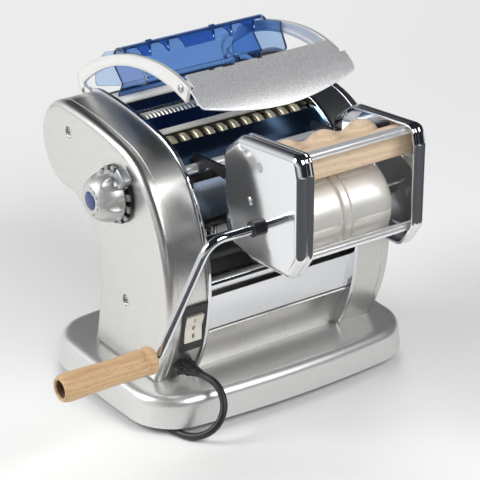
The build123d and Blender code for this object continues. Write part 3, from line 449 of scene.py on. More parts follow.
def roundOver(position, direction, radius, steps=5):
    # levels of a rounded edge that ends at a position; each is the place along the thickness and the inset
    angles = [pi / 2 * i / steps for i in range(steps + 1)]
    return [(position - direction * radius * (1 - sin(angle)), radius * (1 - cos(angle))) for angle in angles]


def sided(side, levels):
    # the same levels on the left, side -1, or on the right, side 1
    return [(side * x, value) for x, value in levels]


def foldedEdges(low, high, inset, width=0.3):
    # levels of a plain thickness whose two edges are broken by an inset
    return [(low, inset), (low + width, 0), (high - width, 0), (high, inset)]


def loopFaces(loops, count):
    # quads between neighbouring closed loops of points
    pairs = [(j, (j + 1) % count) for j in range(count)]
    return [(i * count + j, i * count + k, (i + 1) * count + k, (i + 1) * count + j)
            for i in range(loops - 1) for j, k in pairs]


def slab(name, outline, levels, finish, angle=35):
    # the YZ outline lofted through its levels, each a place along X and an inset
    count = len(outline)
    points = [(place, a, b) for place, inset in levels for a, b in grown(outline, -inset)]
    ends = [tuple(i * count + j for j in range(count)) for i in (0, len(levels) - 1)]
    return meshPiece(name, points, loopFaces(len(levels), count) + ends, finish, angle)


def turned(name, profile, place, finish=None, angle=35, steps=72, radiusAt=None, capped=True):
    # a profile of X and radius turned about an axis along X; radiusAt may change the radius with the angle
    points = []
    for x, radius in profile:
        for j in range(steps):
            turn = 2 * pi * j / steps
            reach = radiusAt(x, radius, turn) if radiusAt else radius
            points.append((x, place[0] + reach * cos(turn), place[1] + reach * sin(turn)))
    faces = loopFaces(len(profile), steps)
    for i in (0, len(profile) - 1):
        if capped and profile[i][1] > 0.01:
            faces.append(tuple(i * steps + j for j in range(steps)))
    return meshPiece(name, points, faces, finish, angle)


def carved(piece, cutters, angle=35):
    # one boolean for each cutter, then the result as a plain mesh
    for cutter in cutters:
        modifier = piece.modifiers.new("cut", "BOOLEAN")
        modifier.object = cutter
        modifier.operation = "DIFFERENCE"
        modifier.solver = "EXACT"
    finished = plainMesh(piece, piece.name + "Cut")
    for cutter in cutters:
        bpy.data.objects.remove(cutter, do_unlink=True)
    smoothShade(finished, angle)
    return finished


def rounded(piece, width, angle=35, limit=30):
    # bevels the edges that are sharper than the limit, as a plain mesh
    name = piece.name
    rounding = piece.modifiers.new("rounding", "BEVEL")
    rounding.width = width * mm
    rounding.segments = 3
    rounding.angle_limit = radians(limit)
    piece = plainMesh(piece, name)
    smoothShade(piece, angle)
    return piece


def joined(name, pieces):
    # several pieces of one body as one mesh, each keeping its own material
    work = bmesh.new()
    mesh = bpy.data.meshes.new(name)
    offset = 0
    for piece in pieces:
        before = len(work.faces)
        copy = piece.data.copy()
        copy.transform(piece.matrix_world)
        work.from_mesh(copy)
        work.faces.ensure_lookup_table()
        for material in copy.materials:
            mesh.materials.append(material)
        for face in work.faces[before:]:
            face.material_index += offset
        offset += max(len(copy.materials), 1)
        bpy.data.meshes.remove(copy)
        bpy.data.objects.remove(piece, do_unlink=True)
    work.to_mesh(mesh)
    work.free()
    return link(bpy.data.objects.new(name, mesh))


def settle(piece, body, *replaced, slot=None):
    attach(piece, body)
    if replaced:
        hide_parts(*replaced)
    return piece


def settlePair(make, v, body, name, slot):
    # the left and the right one of a piece
    for side, label in ((-1, "left_"), (1, "right_")):
        settle(make(side, v), body, label + name, slot=slot)


def boxPiece(name, low, high, finish):
    points = [(x, y, z) for x in (low[0], high[0]) for y in (low[1], high[1]) for z in (low[2], high[2])]
    faces = [(0, 1, 3, 2), (4, 6, 7, 5), (0, 4, 5, 1), (2, 3, 7, 6), (0, 2, 6, 4), (1, 5, 7, 3)]
    return meshPiece(name, points, faces, finish)


# side pods: a shell with a rounded outer edge, a fine crease along it and two sunk screws
podValues = {
    "footFront": (-56.0, 36.0), "belly": (-81.5, 124.0), "shoulder": (-58.0, 208.0), "brow": (-7.0, 244.0),
    "crown": (80.0, 253.0), "lobeSide": (122.9, 222.6), "tail": (81.8, 170.7), "underside": (64.8, 167.8),
    "waist": (29.7, 112.5), "footRear": (43.5, 36.0), "inner": 81.0, "outer": 121.0, "wall": 2.5, "edge": 7.0,
    "crease": 110.2, "creaseWidth": 0.9, "creaseDepth": 0.35, "screws": ((74.0, 228.5), (-15.0, 100.6)),
    "lip": 0.4, "socket": 5.6, "socketDepth": 2.2,
}


def podOutline(v):
    up, down = pi / 2, -pi / 2
    toFoot = arcAlong(v["belly"], v["footFront"], down, 20)[0]
    front, heading = arcAlong(v["belly"], v["shoulder"], up, 24)
    shoulder, heading = arcAlong(v["shoulder"], v["brow"], heading, 20)
    top = arcAlong(v["brow"], v["crown"], heading, 20)[0]
    lobe, heading = arcThrough(v["crown"], v["lobeSide"], v["tail"], 48)
    under, heading = arcAlong(v["tail"], v["underside"], heading, 8)
    waist, heading = arcAlong(v["underside"], v["waist"], heading, 24)
    rear = arcAlong(v["waist"], v["footRear"], heading, 20)[0]
    return chain(toFoot[::-1], front, shoulder, top, lobe, under, waist, rear)


podShape = podOutline(podValues)


def makePod(side, v):
    inner, outer, wall, edge, lip = v["inner"], v["outer"], v["wall"], v["edge"], v["lip"]
    crease, half, depth, socket = v["crease"], v["creaseWidth"] / 2, v["creaseDepth"], v["socket"]
    levels = [(outer - wall, edge), (outer - wall - 0.6, wall), (inner, wall), (inner, lip), (inner + lip, 0),
              (crease - half, 0), (crease - half / 2, depth), (crease + half / 2, depth), (crease + half, 0)]
    shell = slab("pod", podShape, sided(side, levels + roundOver(outer, 1, edge, 9)), "silver")
    profile = [(outer + 1, socket + 0.7), (outer, socket), (outer - v["socketDepth"], socket - 0.3)]
    sockets = [turned("socket", sided(side, profile), place, "silver", steps=40) for place in v["screws"]]
    return carved(shell, sockets)


settlePair(makePod, podValues, "chassis", "pod", "silver")
print("pods made")

# cross-head screws, one piece set in each place by Geometry Nodes
screwValues = {
    "head": 4.4, "rise": 1.5, "slot": 1.1, "slotDepth": 1.0, "slotReach": 0.62, "slotTurn": 0.35,
    "podX": 118.6, "armX": 79.4, "armPlace": (-42.0, 298.0),
}


def makeScrewHead(v):
    head, rise, reach = v["head"], v["rise"], v["head"] * v["slotReach"]
    profile = [(0, head), (rise * 0.4, head), (rise * 0.75, head * 0.86), (rise * 0.95, head * 0.55),
               (rise, 0)]
    slots = []
    for turn in (v["slotTurn"], v["slotTurn"] + pi / 2):
        low, high = (rise - v["slotDepth"], -reach, -v["slot"] / 2), (rise + 1, reach, v["slot"] / 2)
        slot = boxPiece("slot", low, high, "black")
        slot.data.transform(Matrix.Rotation(turn, 4, "X"))
        slots.append(slot)
    return carved(turned("screwHead", profile, (0, 0), "steel", steps=32), slots)


def makeRepeatTree():
    # copies of one piece at the vertices of a mesh, each turned by the turn attribute of its vertex
    tree, source, result = newGroup(
        "repeatPiece",
        [("Geometry", "Geometry"), ("Piece", "Object"), ("Size", "Float", 1), ("Finish", "Material")],
        [("Geometry", "Geometry")],
        "GeometryNodeTree",
    )
    info = put(tree, "GeometryNodeObjectInfo", {"Object": source["Piece"]})
    turn = put(tree, "GeometryNodeInputNamedAttribute", {"Name": "turn"}, data_type="FLOAT_VECTOR")
    spread = put(tree, "GeometryNodeInstanceOnPoints",
                 {"Points": source["Geometry"], "Instance": info.outputs["Geometry"],
                  "Rotation": turn.outputs["Attribute"], "Scale": source["Size"]})
    real = put(tree, "GeometryNodeRealizeInstances", {"Geometry": spread.outputs[0]})
    finish = put(tree, "GeometryNodeSetMaterial", {"Geometry": real.outputs[0], "Material": source["Finish"]})
    tree.links.new(finish.outputs[0], result["Geometry"])
    return tree


repeatTree = makeRepeatTree()


def repeated(name, piece, places, finish, size=1.0):
    # each place is x, y, z and, where the copies turn, the turns about X, Y and Z
    mesh = bpy.data.meshes.new(name)
    mesh.from_pydata([Vector(p[:3]) * mm for p in places], [], [])
    turns = mesh.attributes.new("turn", "FLOAT_VECTOR", "POINT")
    for item, place in zip(turns.data, places):
        item.vector = place[3:] or (0, 0, 0)
    carrier = link(bpy.data.objects.new(name, mesh))
    modifier = carrier.modifiers.new("repeat", "NODES")
    modifier.node_group = repeatTree
    items = repeatTree.interface.items_tree
    sockets = {item.name: item.identifier for item in items if item.in_out == "INPUT"}
    modifier[sockets["Piece"]] = piece
    modifier[sockets["Size"]] = size
    modifier[sockets["Finish"]] = materials[finish]
    finished = plainMesh(carrier, name)
    bpy.data.objects.remove(piece, do_unlink=True)
    smoothShade(finished)
    return finished


def setScrews(name, x, places, size, body, *replaced):
    # a screw in each place on both sides, with its head outward
    rows = [(side * x, y, z, 0, 0, 0 if side > 0 else pi) for side in (-1, 1) for y, z in places]
    settle(repeated(name, makeScrewHead(screwValues), rows, "steel", size), body, *replaced, slot="steel")


setScrews("podScrewHeads", screwValues["podX"], podValues["screws"], 1.0, "chassis", "pod_screws")
print("screws set")

# polished side plates that stand proud of the pods; each hole is y, z and radius
plateValues = {
    "inner": 77.0, "outer": 81.0, "lip": 2.2, "edge": 0.7,
    "holes": ((111.0, 236.8, 18.5), (75.0, 222.0, 8.0), (102.19, 209.32, 8.0), (32.0, 235.5, 8.0),
              (47.32, 222.64, 8.0), (-8.5, 227.5, 8.0), (9.70, 219.21, 8.0)),
}


def makeSidePlate(side, v):
    inner, outer, edge = v["inner"], v["outer"], v["edge"]
    outline = [(y, max(z, podValues["footFront"][1])) for y, z in grown(podShape, v["lip"])]
    levels = roundOver(inner, -1, edge, 3)[::-1] + roundOver(outer, 1, edge, 3)
    plate = slab("sidePlate", outline, sided(side, levels), "chrome")
    cutters = [turned("hole", sided(side, [(inner - 2, r), (outer + 2, r)]), (y, z), "chrome")
               for y, z, r in v["holes"]]
    return carved(plate, cutters)


settlePair(makeSidePlate, plateValues, "chassis", "side_plate", "chrome")
print("side plates made")

# guard: two curved arms with a fine line along the outside and a channel on the inside
armValues = {
    "root": (122.0, 243.0), "heel": (128.0, 252.0), "back": (125.0, 262.0), "crest": (67.0, 294.0),
    "apex": (-8.0, 309.2), "brow": (-36.0, 306.8), "nose": (-53.0, 302.5), "tip": (-49.0, 287.0),
    "belly": (-20.0, 293.8), "arch": (12.0, 295.4), "haunch": (68.0, 282.7), "rootInner": (117.0, 252.0),
    "hinge": (111.0, 236.8), "reach": 12.0, "pin": 2.6, "inner": 75.0, "width": 4.0,
    # the channel and the fine line: how far in from each face, and the inset from the outline
    "inside": ((1.3, 3.9), (1.3, 3.6), (0, 3.2), (0, 0.5), (0.5, 0)),
    "outside": ((0.8, 0), (0.25, 0.25), (0, 0.8), (0, 2.2), (0.35, 2.4), (0.35, 2.7), (0, 2.9)),
}


def armOutline(v):
    arcs = (("root", "heel", "back", 8), ("back", "crest", "apex", 40), ("apex", "brow", "nose", 16),
            ("tip", "belly", "arch", 20), ("arch", "haunch", "rootInner", 32))
    return chain(*[arcThrough(v[a], v[b], v[c], steps)[0] for a, b, c, steps in arcs], [v["hinge"]])


def makeArm(side, v):
    inner, outer, pin, reach = v["inner"], v["inner"] + v["width"], v["pin"], v["reach"]
    levels = [(inner + deep, inset) for deep, inset in v["inside"]]
    levels += [(outer - deep, inset) for deep, inset in v["outside"]]
    arm = slab("arm", armOutline(v), sided(side, levels), "armWhite", 30)
    band = [(inner, pin), (inner, reach), (outer, reach), (outer, pin), (inner, pin)]
    return joined("guardArm", [arm, turned("armDisc", sided(side, band), v["hinge"], "armWhite", 30)])


settlePair(makeArm, armValues, "guard", "guard_arm", "silver")
setScrews("armScrewHeads", screwValues["armX"], [screwValues["armPlace"]], 0.8, "guard", "guard_screws")

# visor: a bent sheet with a bowed, rolled front edge and three slots at the rear, each a place and a width
visorValues = {
    "rear": (-41.0, 306.5), "middle": (-62.0, 298.0), "front": (-82.0, 279.0), "step": -57.0, "half": 80.5,
    "inner": 75.0, "shoulder": -73.2, "bow": -82.4, "sheet": 2.0, "corner": 4.0, "edge": 0.8, "rows": 28,
    "slots": ((-48.0, 5.0), (-31.0, 12.0), (1.0, 5.0)), "slotLow": (-2.2, -1), "slotHigh": (-0.2, 2.1),
}


def visorHeight(v):
    # gives the point of the visor's curve at a place along Y, and runs on straight past its front
    points = arcThrough(v["rear"], v["middle"], v["front"], 200)[0]

    def at(y):
        if y >= points[0][0]:
            return points[0]
        for (ya, za), (yb, zb) in zip(points, points[1:]):
            if yb <= y <= ya:
                return y, za + (zb - za) * (ya - y) / max(ya - yb, 0.0001)
        (ya, za), (yb, zb) = points[-2], points[-1]
        return y, zb + (zb - za) / (yb - ya) * (y - yb)
    return at


def visorColumns(v):
    # x, front and rear of each column of the sheet, with its front corners rounded
    bowPoints = arcThrough((-v["half"], v["shoulder"]), (0, v["bow"]), (v["half"], v["shoulder"]), 96)[0]
    columns = []
    for x, y in bowPoints:
        past = min(max(abs(x) - v["half"] + v["corner"], 0), v["corner"])
        front = y + v["corner"] - sqrt(v["corner"] ** 2 - past ** 2)
        columns.append((x, front, v["step"] if abs(x) > v["inner"] else v["rear"][0]))
    return columns


def makeVisor(v):
    at, columns, rows = visorHeight(v), visorColumns(v), v["rows"]
    points, faces = [], []
    for layer in (0, 1):
        for x, low, high in columns:
            for j in range(rows + 1):
                y = high + (low - high) * j / rows
                yy, zz = at(y)
                ahead, behind = at(y - 0.5), at(y + 0.5)
                tangent = Vector((ahead[0] - behind[0], ahead[1] - behind[1])).normalized()
                normal = Vector((tangent.y, -tangent.x)) if tangent.x < 0 else Vector((-tangent.y, tangent.x))
                lift = v["sheet"] * layer
                points.append((x, yy + normal.x * lift, zz + normal.y * lift))
    total = len(columns)

    def spot(layer, i, j):
        return (layer * total + i) * (rows + 1) + j
    for i in range(total - 1):
        for j in range(rows):
            quad = ((i, j), (i + 1, j), (i + 1, j + 1), (i, j + 1))
            faces += [tuple(spot(layer, a, b) for a, b in quad) for layer in (0, 1)]
        for j in (0, rows):
            faces.append((spot(0, i, j), spot(0, i + 1, j), spot(1, i + 1, j), spot(1, i, j)))
    for i in (0, total - 1):
        for j in range(rows):
            faces.append((spot(0, i, j), spot(0, i, j + 1), spot(1, i, j + 1), spot(1, i, j)))
    sheet = rounded(meshPiece("visorSheet", points, faces, "visorSilver", 40), v["edge"], 40, 50)
    (y, z), (lowY, lowZ), (highY, highZ) = v["rear"], v["slotLow"], v["slotHigh"]
    slots = []
    for x, width in v["slots"]:
        low, high = (x - width / 2, y + lowY, z + lowZ), (x + width / 2, y + highY, z + highZ)
        slots.append(boxPiece("visorSlot", low, high, "black"))
    return joined("visorPlate", [sheet, *slots])


settle(makeVisor(visorValues), "guard", "visor", slot="silver")
print("guard made")

# hood: a thin rolled sheet with scalloped lip between two cheeks
hoodValues = {
    "roll": 14.0, "centre": (58.0, 288.0), "lip": 154, "turn": -30, "crease": (58.0, 269.0),
    "foot": (65.0, 256.0), "sheet": 2.2, "half": 74.9, "scallop": 8.5,
    "scallops": (-67.7, -43.0, -24.0, 24.0, 43.0, 67.7), "scallopY": 50.0, "scallopHeight": 294.1,
    "scallopReach": 7, "edgeShadeWidth": 0.35, "edgeSteps": 64, "cheekRound": 4.0, "cheekEdge": 0.3,
    "cheek": ((103.0, 252.0), (104.0, 265.0), (91.0, 285.0), (85.0, 290.5), (67.0, 297.0), (27.0, 305.5),
              (27.0, 298.0), (17.0, 281.0)),
    "bumps": ((-44.0, 6.0), (22.8, 6.0)), "bumpBehind": 4, "bumpSunk": 2.2, "bumpRadius": 2.6,
}


def runsOf(line, gap=2.5):
    # splits a row of points where it jumps, and leaves out the runs that are too short for a tube
    runs, run = [], []
    for point in line:
        if run and (Vector(point) - Vector(run[-1])).length > gap:
            runs.append(run)
            run = []
        run.append(point)
    runs.append(run)
    return [run for run in runs if len(run) > 2]


def roundCurve(name, line, radius, resolution, kind="POLY"):
    # a round curve through the points, and its one spline
    curve = bpy.data.curves.new(name, "CURVE")
    curve.dimensions = "3D"
    curve.bevel_depth = radius * mm
    curve.bevel_resolution = resolution
    curve.use_fill_caps = True
    spline = curve.splines.new(kind)
    spline.points.add(len(line) - 1)
    for point, place in zip(spline.points, line):
        point.co = (*(Vector(place) * mm), 1)
    return link(bpy.data.objects.new(name, curve)), spline


def tubeAlong(name, line, radius, finish):
    tube = plainMesh(roundCurve(name, line, radius, 2)[0], name)
    dress(tube, finish)
    return tube


def hoodOutline(v):
    # the rolled line from the lip to the foot, and back along its inner face
    line = arcPoints(v["centre"], v["roll"], radians(v["lip"]), radians(v["turn"]) - radians(v["lip"]), 40)
    line += [v["crease"], v["foot"]]
    inner = []
    for i, (y, z) in enumerate(line):
        before, after = line[max(i - 1, 0)], line[min(i + 1, len(line) - 1)]
        along = Vector((after[0] - before[0], after[1] - before[1])).normalized()
        inner.append((y + along.y * v["sheet"], z - along.x * v["sheet"]))
    return line + inner[::-1]


def scallopLine(x, v):
    # where a scallop's cylinder meets the outer face of the roll
    cy, cz = v["centre"]
    line = []
    for i in range(v["edgeSteps"] + 1):
        angle = 2 * pi * i / v["edgeSteps"]
        across, up = x + v["scallop"] * cos(angle), v["scallopHeight"] + v["scallop"] * sin(angle)
        rise = up - cz
        turning = 180 - degrees(asin(min(max(rise / v["roll"], -1), 1)))
        if abs(across) < v["half"] - 1 and abs(rise) < v["roll"] - 0.3 and turning <= v["lip"]:
            line.append((across, cy - sqrt(v["roll"] ** 2 - rise * rise), up))
    return line


def makeHood(v):
    half = v["half"]
    sheet = slab("hoodSheet", hoodOutline(v), [(-half, 0), (half, 0)], "blueClear", 30)
    cutters = []
    for x in v["scallops"]:
        profile = [(-v["scallopReach"], v["scallop"]), (v["scallopReach"], v["scallop"])]
        disc = turned("scallop", profile, (0, 0), "blueClear", steps=48)
        place = Matrix.Translation(Vector((x, v["scallopY"], v["scallopHeight"])) * mm)
        disc.data.transform(place @ Matrix.Rotation(pi / 2, 4, "Z"))
        cutters.append(disc)
    parts = [carved(sheet, cutters, 30)]
    # a dark tube along each scallop's cut edge, painted shade for the clear sheet's darker edge
    for x in v["scallops"]:
        for run in runsOf(scallopLine(x, v)):
            parts.append(tubeAlong("scallopEdge", run, v["edgeShadeWidth"], "blueEdgeShade"))
    cheek = smoothed(v["cheek"], v["cheekRound"])
    for low, high in ((-half, v["sheet"] - half), (half - v["sheet"], half)):
        parts.append(slab("cheek", cheek, foldedEdges(low, high, v["cheekEdge"]), "paleClear", 30))
    cy, cz = v["centre"]
    place, radius = (cy + v["bumpBehind"], cz + v["roll"] - v["bumpSunk"]), v["bumpRadius"]
    for x, width in v["bumps"]:
        low, high = x - width / 2, x + width / 2
        profile = [(low, 0.5), (low + 0.6, radius), (high - 0.6, radius), (high, 0.5)]
        parts.append(turned("bump", profile, place, "blueClear", steps=24))
    return joined("hoodShell", parts)


settle(makeHood(hoodValues), "guard", "hood", slot="blue_clear")
print("hood made")

# deck: bent strips between the cutter rows, each with a fine folded edge
deckValues = {
    "recess": 3.0, "sheet": 1.5, "half": 76.8, "edge": 0.2, "above": 200,
    "spans": ((62.0, 39.5), (24.0, 0.5), (-17.5, -46.0)),
}


def stripOutline(high, low, v):
    # the upper part of the pods' outline over a stretch of Y, as a closed band
    runs = [[(y, z) for y, z in grown(podShape, -inset) if low <= y <= high and z > least]
            for inset, least in ((v["recess"], v["above"]), (v["recess"] + v["sheet"], v["above"] - 5))]
    return runs[0] + runs[1][::-1]


def makeDeck(v):
    levels = foldedEdges(-v["half"], v["half"], v["edge"])
    strips = [slab("deckStrip", stripOutline(high, low, v), levels, "deck", 30) for high, low in v["spans"]]
    return joined("deckStrips", strips)


settle(makeDeck(deckValues), "chassis", "deck", slot="steel")

# cutter rings, set along their shafts by Geometry Nodes
ringReach, ringDepth = 73.6, 2.8  # how far along X a ring may stand, and how deep it goes onto its shaft
fineValues = {
    "place": (32.0, 235.5), "pair": (47.32, 222.64), "shifts": (0, 2.0), "count": 37, "pitch": 4.0,
    "radius": 12.3, "half": 1.3, "bead": 1.5, "finish": "ringSteel",
}
wideValues = {
    "place": (-8.5, 227.5), "pair": (9.70, 219.21), "shifts": (-3.25, 3.25), "count": 11, "pitch": 13.0,
    "radius": 12.6, "half": 3.15, "shoulder": ((0, 2.6), (0, 1.2), (0.35, 0.5), (1.1, 0)),
    "finish": "ringBrass",
}


def ringProfile(v):
    # a round bead on the fine rings, a flat crown with rounded shoulders on the wide ones
    half, radius = v["half"], v["radius"]
    if "bead" in v:
        bead = v["bead"]
        return [(half * cos(pi * i / 8), radius - bead + bead * sin(pi * i / 8)) for i in range(9)]
    shoulder = [(half - back, radius - drop) for back, drop in v["shoulder"]]
    return [(-x, r) for x, r in shoulder] + shoulder[::-1]


def makeRings(name, v, place, shift):
    profile, bore = ringProfile(v), v["radius"] - ringDepth
    closed = [*profile, (profile[-1][0], bore), (profile[0][0], bore), profile[0]]
    ring = turned("ring", closed, (0, 0), v["finish"], steps=48)
    start = -(v["count"] - 1) / 2 * v["pitch"] + shift
    places = [(start + i * v["pitch"], *place) for i in range(v["count"])]
    return repeated(name, ring, [p for p in places if abs(p[0]) < ringReach], v["finish"])


for label, v in (("fine", fineValues), ("wide", wideValues)):
    row = makeRings(label + "Rings", v, v["place"], v["shifts"][0])
    settle(row, label + "_cutting", slot="steel")
    pairRow = makeRings(label + "PairRings", v, v["pair"], v["shifts"][1])
    settle(pairRow, label + "_cutting_pair", slot="steel")
print("cutter rings set")

# dial: a fluted dome with a blue cap and small numbers, on a castellated ring with a pawl
dialValues = {
    "place": (-5.0, 199.0), "face": -126.4, "radius": 22.5, "height": 22.0, "rim": 5.0, "crown": 14.0,
    "cheek": (16.5, 18.7), "flutes": 7, "fluteReach": 4.0, "fluteRadius": 8.0, "fluteSoftness": 0.035,
    "cap": 8.0, "ringFace": -121.0, "ringRadius": 26.0, "ringBore": 4.2, "ringWidth": 5.0, "teeth": 14,
    "tooth": 5.8, "pawlAngle": 128, "pawl": 15.5, "pawlDepth": 9.8, "numbers": 7, "numberStart": -66,
    "numberStep": 24, "numberRadius": 12.3, "numberSize": 3.9,
    # the dome's seat round the cap, and the cap's edge: each is a depth and a step of the radius
    "seat": ((0, 0.4), (0.6, 0.1), (2.0, 0.1)), "capEdge": ((0, 0), (1.0, 0), (1.5, 0.5), (1.9, 2)),
}
inkSpread = 0.035  # how far the strokes of letters grow, as a share of their size


def dialProfile(v):
    side = arcThrough((v["rim"], v["radius"]), v["cheek"], (v["height"], v["crown"]), 14)[0]
    height, cap, (endX, endRadius) = v["height"], v["cap"], side[-1]
    seat = [(height - deep, cap + step) for deep, step in v["seat"]]
    profile = [(0, 0), (0, v["radius"] - 0.6), (0.6, v["radius"]), *side[:-1],
               (endX - 0.25, endRadius + 0.15), (endX, endRadius - 0.5), *seat, (seat[-1][0], 0)]
    return [(v["face"] - x, radius) for x, radius in profile]


def fluteRadiusAt(v):
    # flutes are round grooves along the dome; their edges are softened by a mean over a few angles
    far = v["radius"] + v["fluteRadius"] - v["fluteReach"]

    def reach(turn):
        phase = (turn * v["flutes"] / (2 * pi) % 1 - 0.5) * 2 * pi / v["flutes"]
        side = far * sin(phase)
        if abs(side) >= v["fluteRadius"]:
            return 99.0
        return far * cos(phase) - sqrt(v["fluteRadius"] ** 2 - side * side)

    def at(x, radius, turn):
        if radius < v["cap"] + 1 or x > v["face"] - v["rim"] + 1:
            return radius
        limits = [min(radius, reach(turn + v["fluteSoftness"] * i / 3)) for i in range(-3, 4)]
        return sum(limits) / len(limits)
    return at


def textMesh(name, body, size, finish):
    curve = bpy.data.curves.new(name, "FONT")
    curve.body = body
    curve.size = size * mm
    curve.align_x = "CENTER"
    curve.align_y = "CENTER"
    curve.offset = inkSpread * size * mm
    piece = plainMesh(link(bpy.data.objects.new(name, curve)), name)
    dress(piece, finish)
    return piece


def printed(mark, matrix, target, outward, lift=0.06, longest=0.7, away=30):
    # lays a flat mark on the target's surface: every vertex goes inward until it meets the surface
    mark.data.transform(matrix)
    aim = Vector(outward).normalized()
    work = bmesh.new()
    work.from_mesh(mark.data)
    edges = [e for e in work.edges if e.calc_length() > longest * mm]
    bmesh.ops.subdivide_edges(work, edges=edges, cuts=2)
    bmesh.ops.triangulate(work, faces=work.faces)
    turn = target.matrix_world.inverted()
    for vertex in work.verts:
        start = turn @ (vertex.co + aim * away * mm)
        hit, place = target.ray_cast(start, turn.to_3x3() @ -aim)[:2]
        if hit:
            vertex.co = target.matrix_world @ place + aim * lift * mm
    work.to_mesh(mark.data)
    work.free()
    return mark


def frameAt(place, right, up, turn=0.0):
    x, y = Vector(right).normalized(), Vector(up).normalized()
    basis = Matrix((x, y, x.cross(y))).transposed().to_4x4()
    return Matrix.Translation(Vector(place) * mm) @ basis @ Matrix.Rotation(turn, 4, "Z")


def makeDial(v):
    dome = turned("dome", dialProfile(v), v["place"], "dialSilver", 40, 210, fluteRadiusAt(v))
    marks = []
    for i in range(v["numbers"]):
        angle = radians(v["numberStart"] + v["numberStep"] * i)
        # seen from the left, right is -Y and up is Z
        y = v["place"][0] - v["numberRadius"] * cos(angle)
        z = v["place"][1] + v["numberRadius"] * sin(angle)
        mark = textMesh("dialNumber", str(i), v["numberSize"], "ink")
        matrix = frameAt((v["face"] - v["height"] - 1, y, z), (0, -1, 0), (0, 0, 1), angle)
        marks.append(printed(mark, matrix, dome, (-1, 0, 0)))
    return joined("dialDome", [dome, *marks])


def makeDialCap(v):
    face, cap = v["face"] - v["height"] + 1.0, v["cap"]
    profile = [(face - deep, cap - step) for deep, step in v["capEdge"]]
    return turned("dialCap", [*profile, (face - 2.1, 0)], v["place"], "blueCap")


def makeIndexRing(v):
    y, z = v["place"]
    face, width, radius, bore = v["ringFace"], v["ringWidth"], v["ringRadius"], v["ringBore"]
    half, tooth, halfPawl = width / 2, v["tooth"], v["pawl"] / 2
    profile = [(face, bore), (face, radius), (face - half, radius), (face - half, radius - tooth),
               (face - width, radius - tooth - 0.3), (face - width, bore), (face, bore)]
    ring = turned("ring", profile, v["place"], "black", 30)
    block = boxPiece("tooth", (-half - 0.05, -tooth / 2, -tooth), (0, tooth / 2, 0), "castMetal")
    turns = [2 * pi * i / v["teeth"] for i in range(v["teeth"])]
    places = [(face - half, y - radius * sin(turn), z + radius * cos(turn), turn, 0, 0) for turn in turns]
    teeth = repeated("teeth", rounded(block, 0.3), places, "castMetal")
    low, high = (face - v["pawlDepth"], radius - halfPawl, -halfPawl), (face, radius + halfPawl, halfPawl)
    pawl = rounded(boxPiece("pawl", low, high, "castMetal"), 2.0)
    turn = Matrix.Rotation(radians(v["pawlAngle"]), 4, "X")
    pawl.data.transform(Matrix.Translation(Vector((0, y, z)) * mm) @ turn)
    room = turned("room", [(face - 12, v["radius"] + 0.5), (face - 1, v["radius"] + 0.5)], v["place"])
    return joined("indexRing", [ring, teeth, carved(pawl, [room], 30)])


settle(makeDial(dialValues), "dialling", "dial", slot="silver")
settle(makeDialCap(dialValues), "dialling", "dial_cap", slot="blue_cap")
settle(makeIndexRing(dialValues), "chassis", "index_ring", slot="black_plastic")
print("dial made")

# switch marks, laid on the rocker's curved face
switchValues = {
    "x": -93.5, "height": 93.0, "centre": (83.1, 124.0), "radius": 164.6, "size": 5.6, "ahead": 6,
    "marks": (("I", 8.0), ("0", 0.0), ("II", -8.0)),
}


def makeSwitchMarks(v):
    rise = v["height"] - v["centre"][1]
    depth = sqrt(v["radius"] ** 2 - rise * rise)
    place = Vector((v["x"], v["centre"][0] - depth, v["height"]))
    outward = Vector((0, -depth, rise)).normalized()
    up = Vector((0, rise, depth)).normalized()
    marks = []
    for body, along in v["marks"]:
        mark = textMesh("switchMark", body, v["size"], "ink")
        matrix = frameAt(place + up * along + outward * v["ahead"], (1, 0, 0), up)
        marks.append(printed(mark, matrix, nodes["rocker"], outward))
    return joined("switchMarks", marks)


settle(makeSwitchMarks(switchValues), "switching", slot="black_plastic")
print("switch marked")

# boot of the cord: a ribbed collar that narrows onto the cord
bootValues = {
    "place": (-96.0, -64.917, 52.0), "aim": (0.30, -0.94, -0.15),
    "ribs": 18, "rib": 0.35, "ribFrom": 2, "ribRadii": (6.5, 9),
    "profile": [(-6, 6.0), (-0.5, 6.0), (-0.5, 9.6), (1.2, 9.8), (2.8, 9.2), (3.2, 8.2), (5.0, 8.0),
                (5.4, 7.2), (10, 6.9), (10.5, 6.2), (12, 6.0), (12.4, 5.2), (14, 5.1), (14.4, 4.6),
                (16, 4.6), (16.4, 4.2), (18, 4.1), (21, 3.5), (21, 3.25), (-6, 3.25), (-6, 6.0)],
}


def makeBoot(v):
    least, most = v["ribRadii"]

    def ribbed(x, radius, turn):
        onRib = x > v["ribFrom"] and least < radius < most
        return radius + (v["rib"] * sin(turn * v["ribs"]) if onRib else 0)
    boot = turned("boot", v["profile"], (0, 0), "rubber", 30, 144, ribbed)
    turn = Vector((1, 0, 0)).rotation_difference(Vector(v["aim"]).normalized()).to_matrix().to_4x4()
    boot.data.transform(Matrix.Translation(Vector(v["place"]) * mm) @ turn)
    return boot


settle(makeBoot(bootValues), "chassis", "cable_gland", slot="rubber")
print("boot made")

# attachment: chrome pans with a deep rounded rim, the drum, the wavy roller and the grip
panValues = {
    "outer": 66.0, "depth": 15.0, "wall": 2.0, "edge": 7.0, "round": 13.0, "screw": (-124.0, 222.0),
    "outline": ((-82.0, 254.0), (-85.5, 183.0), (-95.0, 170.0), (-128.0, 166.5), (-178.0, 170.0),
                (-193.0, 192.0), (-193.0, 266.0), (-188.0, 283.4), (-106.0, 274.0)),
    "rim": ((0, 1.0), (0.3, 0.4), (1.0, 0.05), (1.8, 0.0), (2.4, 0.3), (2.8, 0.9), (3.4, 1.35), (4.2, 1.5),
            (5.0, 1.3), (5.7, 0.8), (6.6, 0.3), (7.4, 0.05)),
    "drum": (-135.0, 202.0), "wave": (-138.0, 257.0), "hole": 4.2,
}


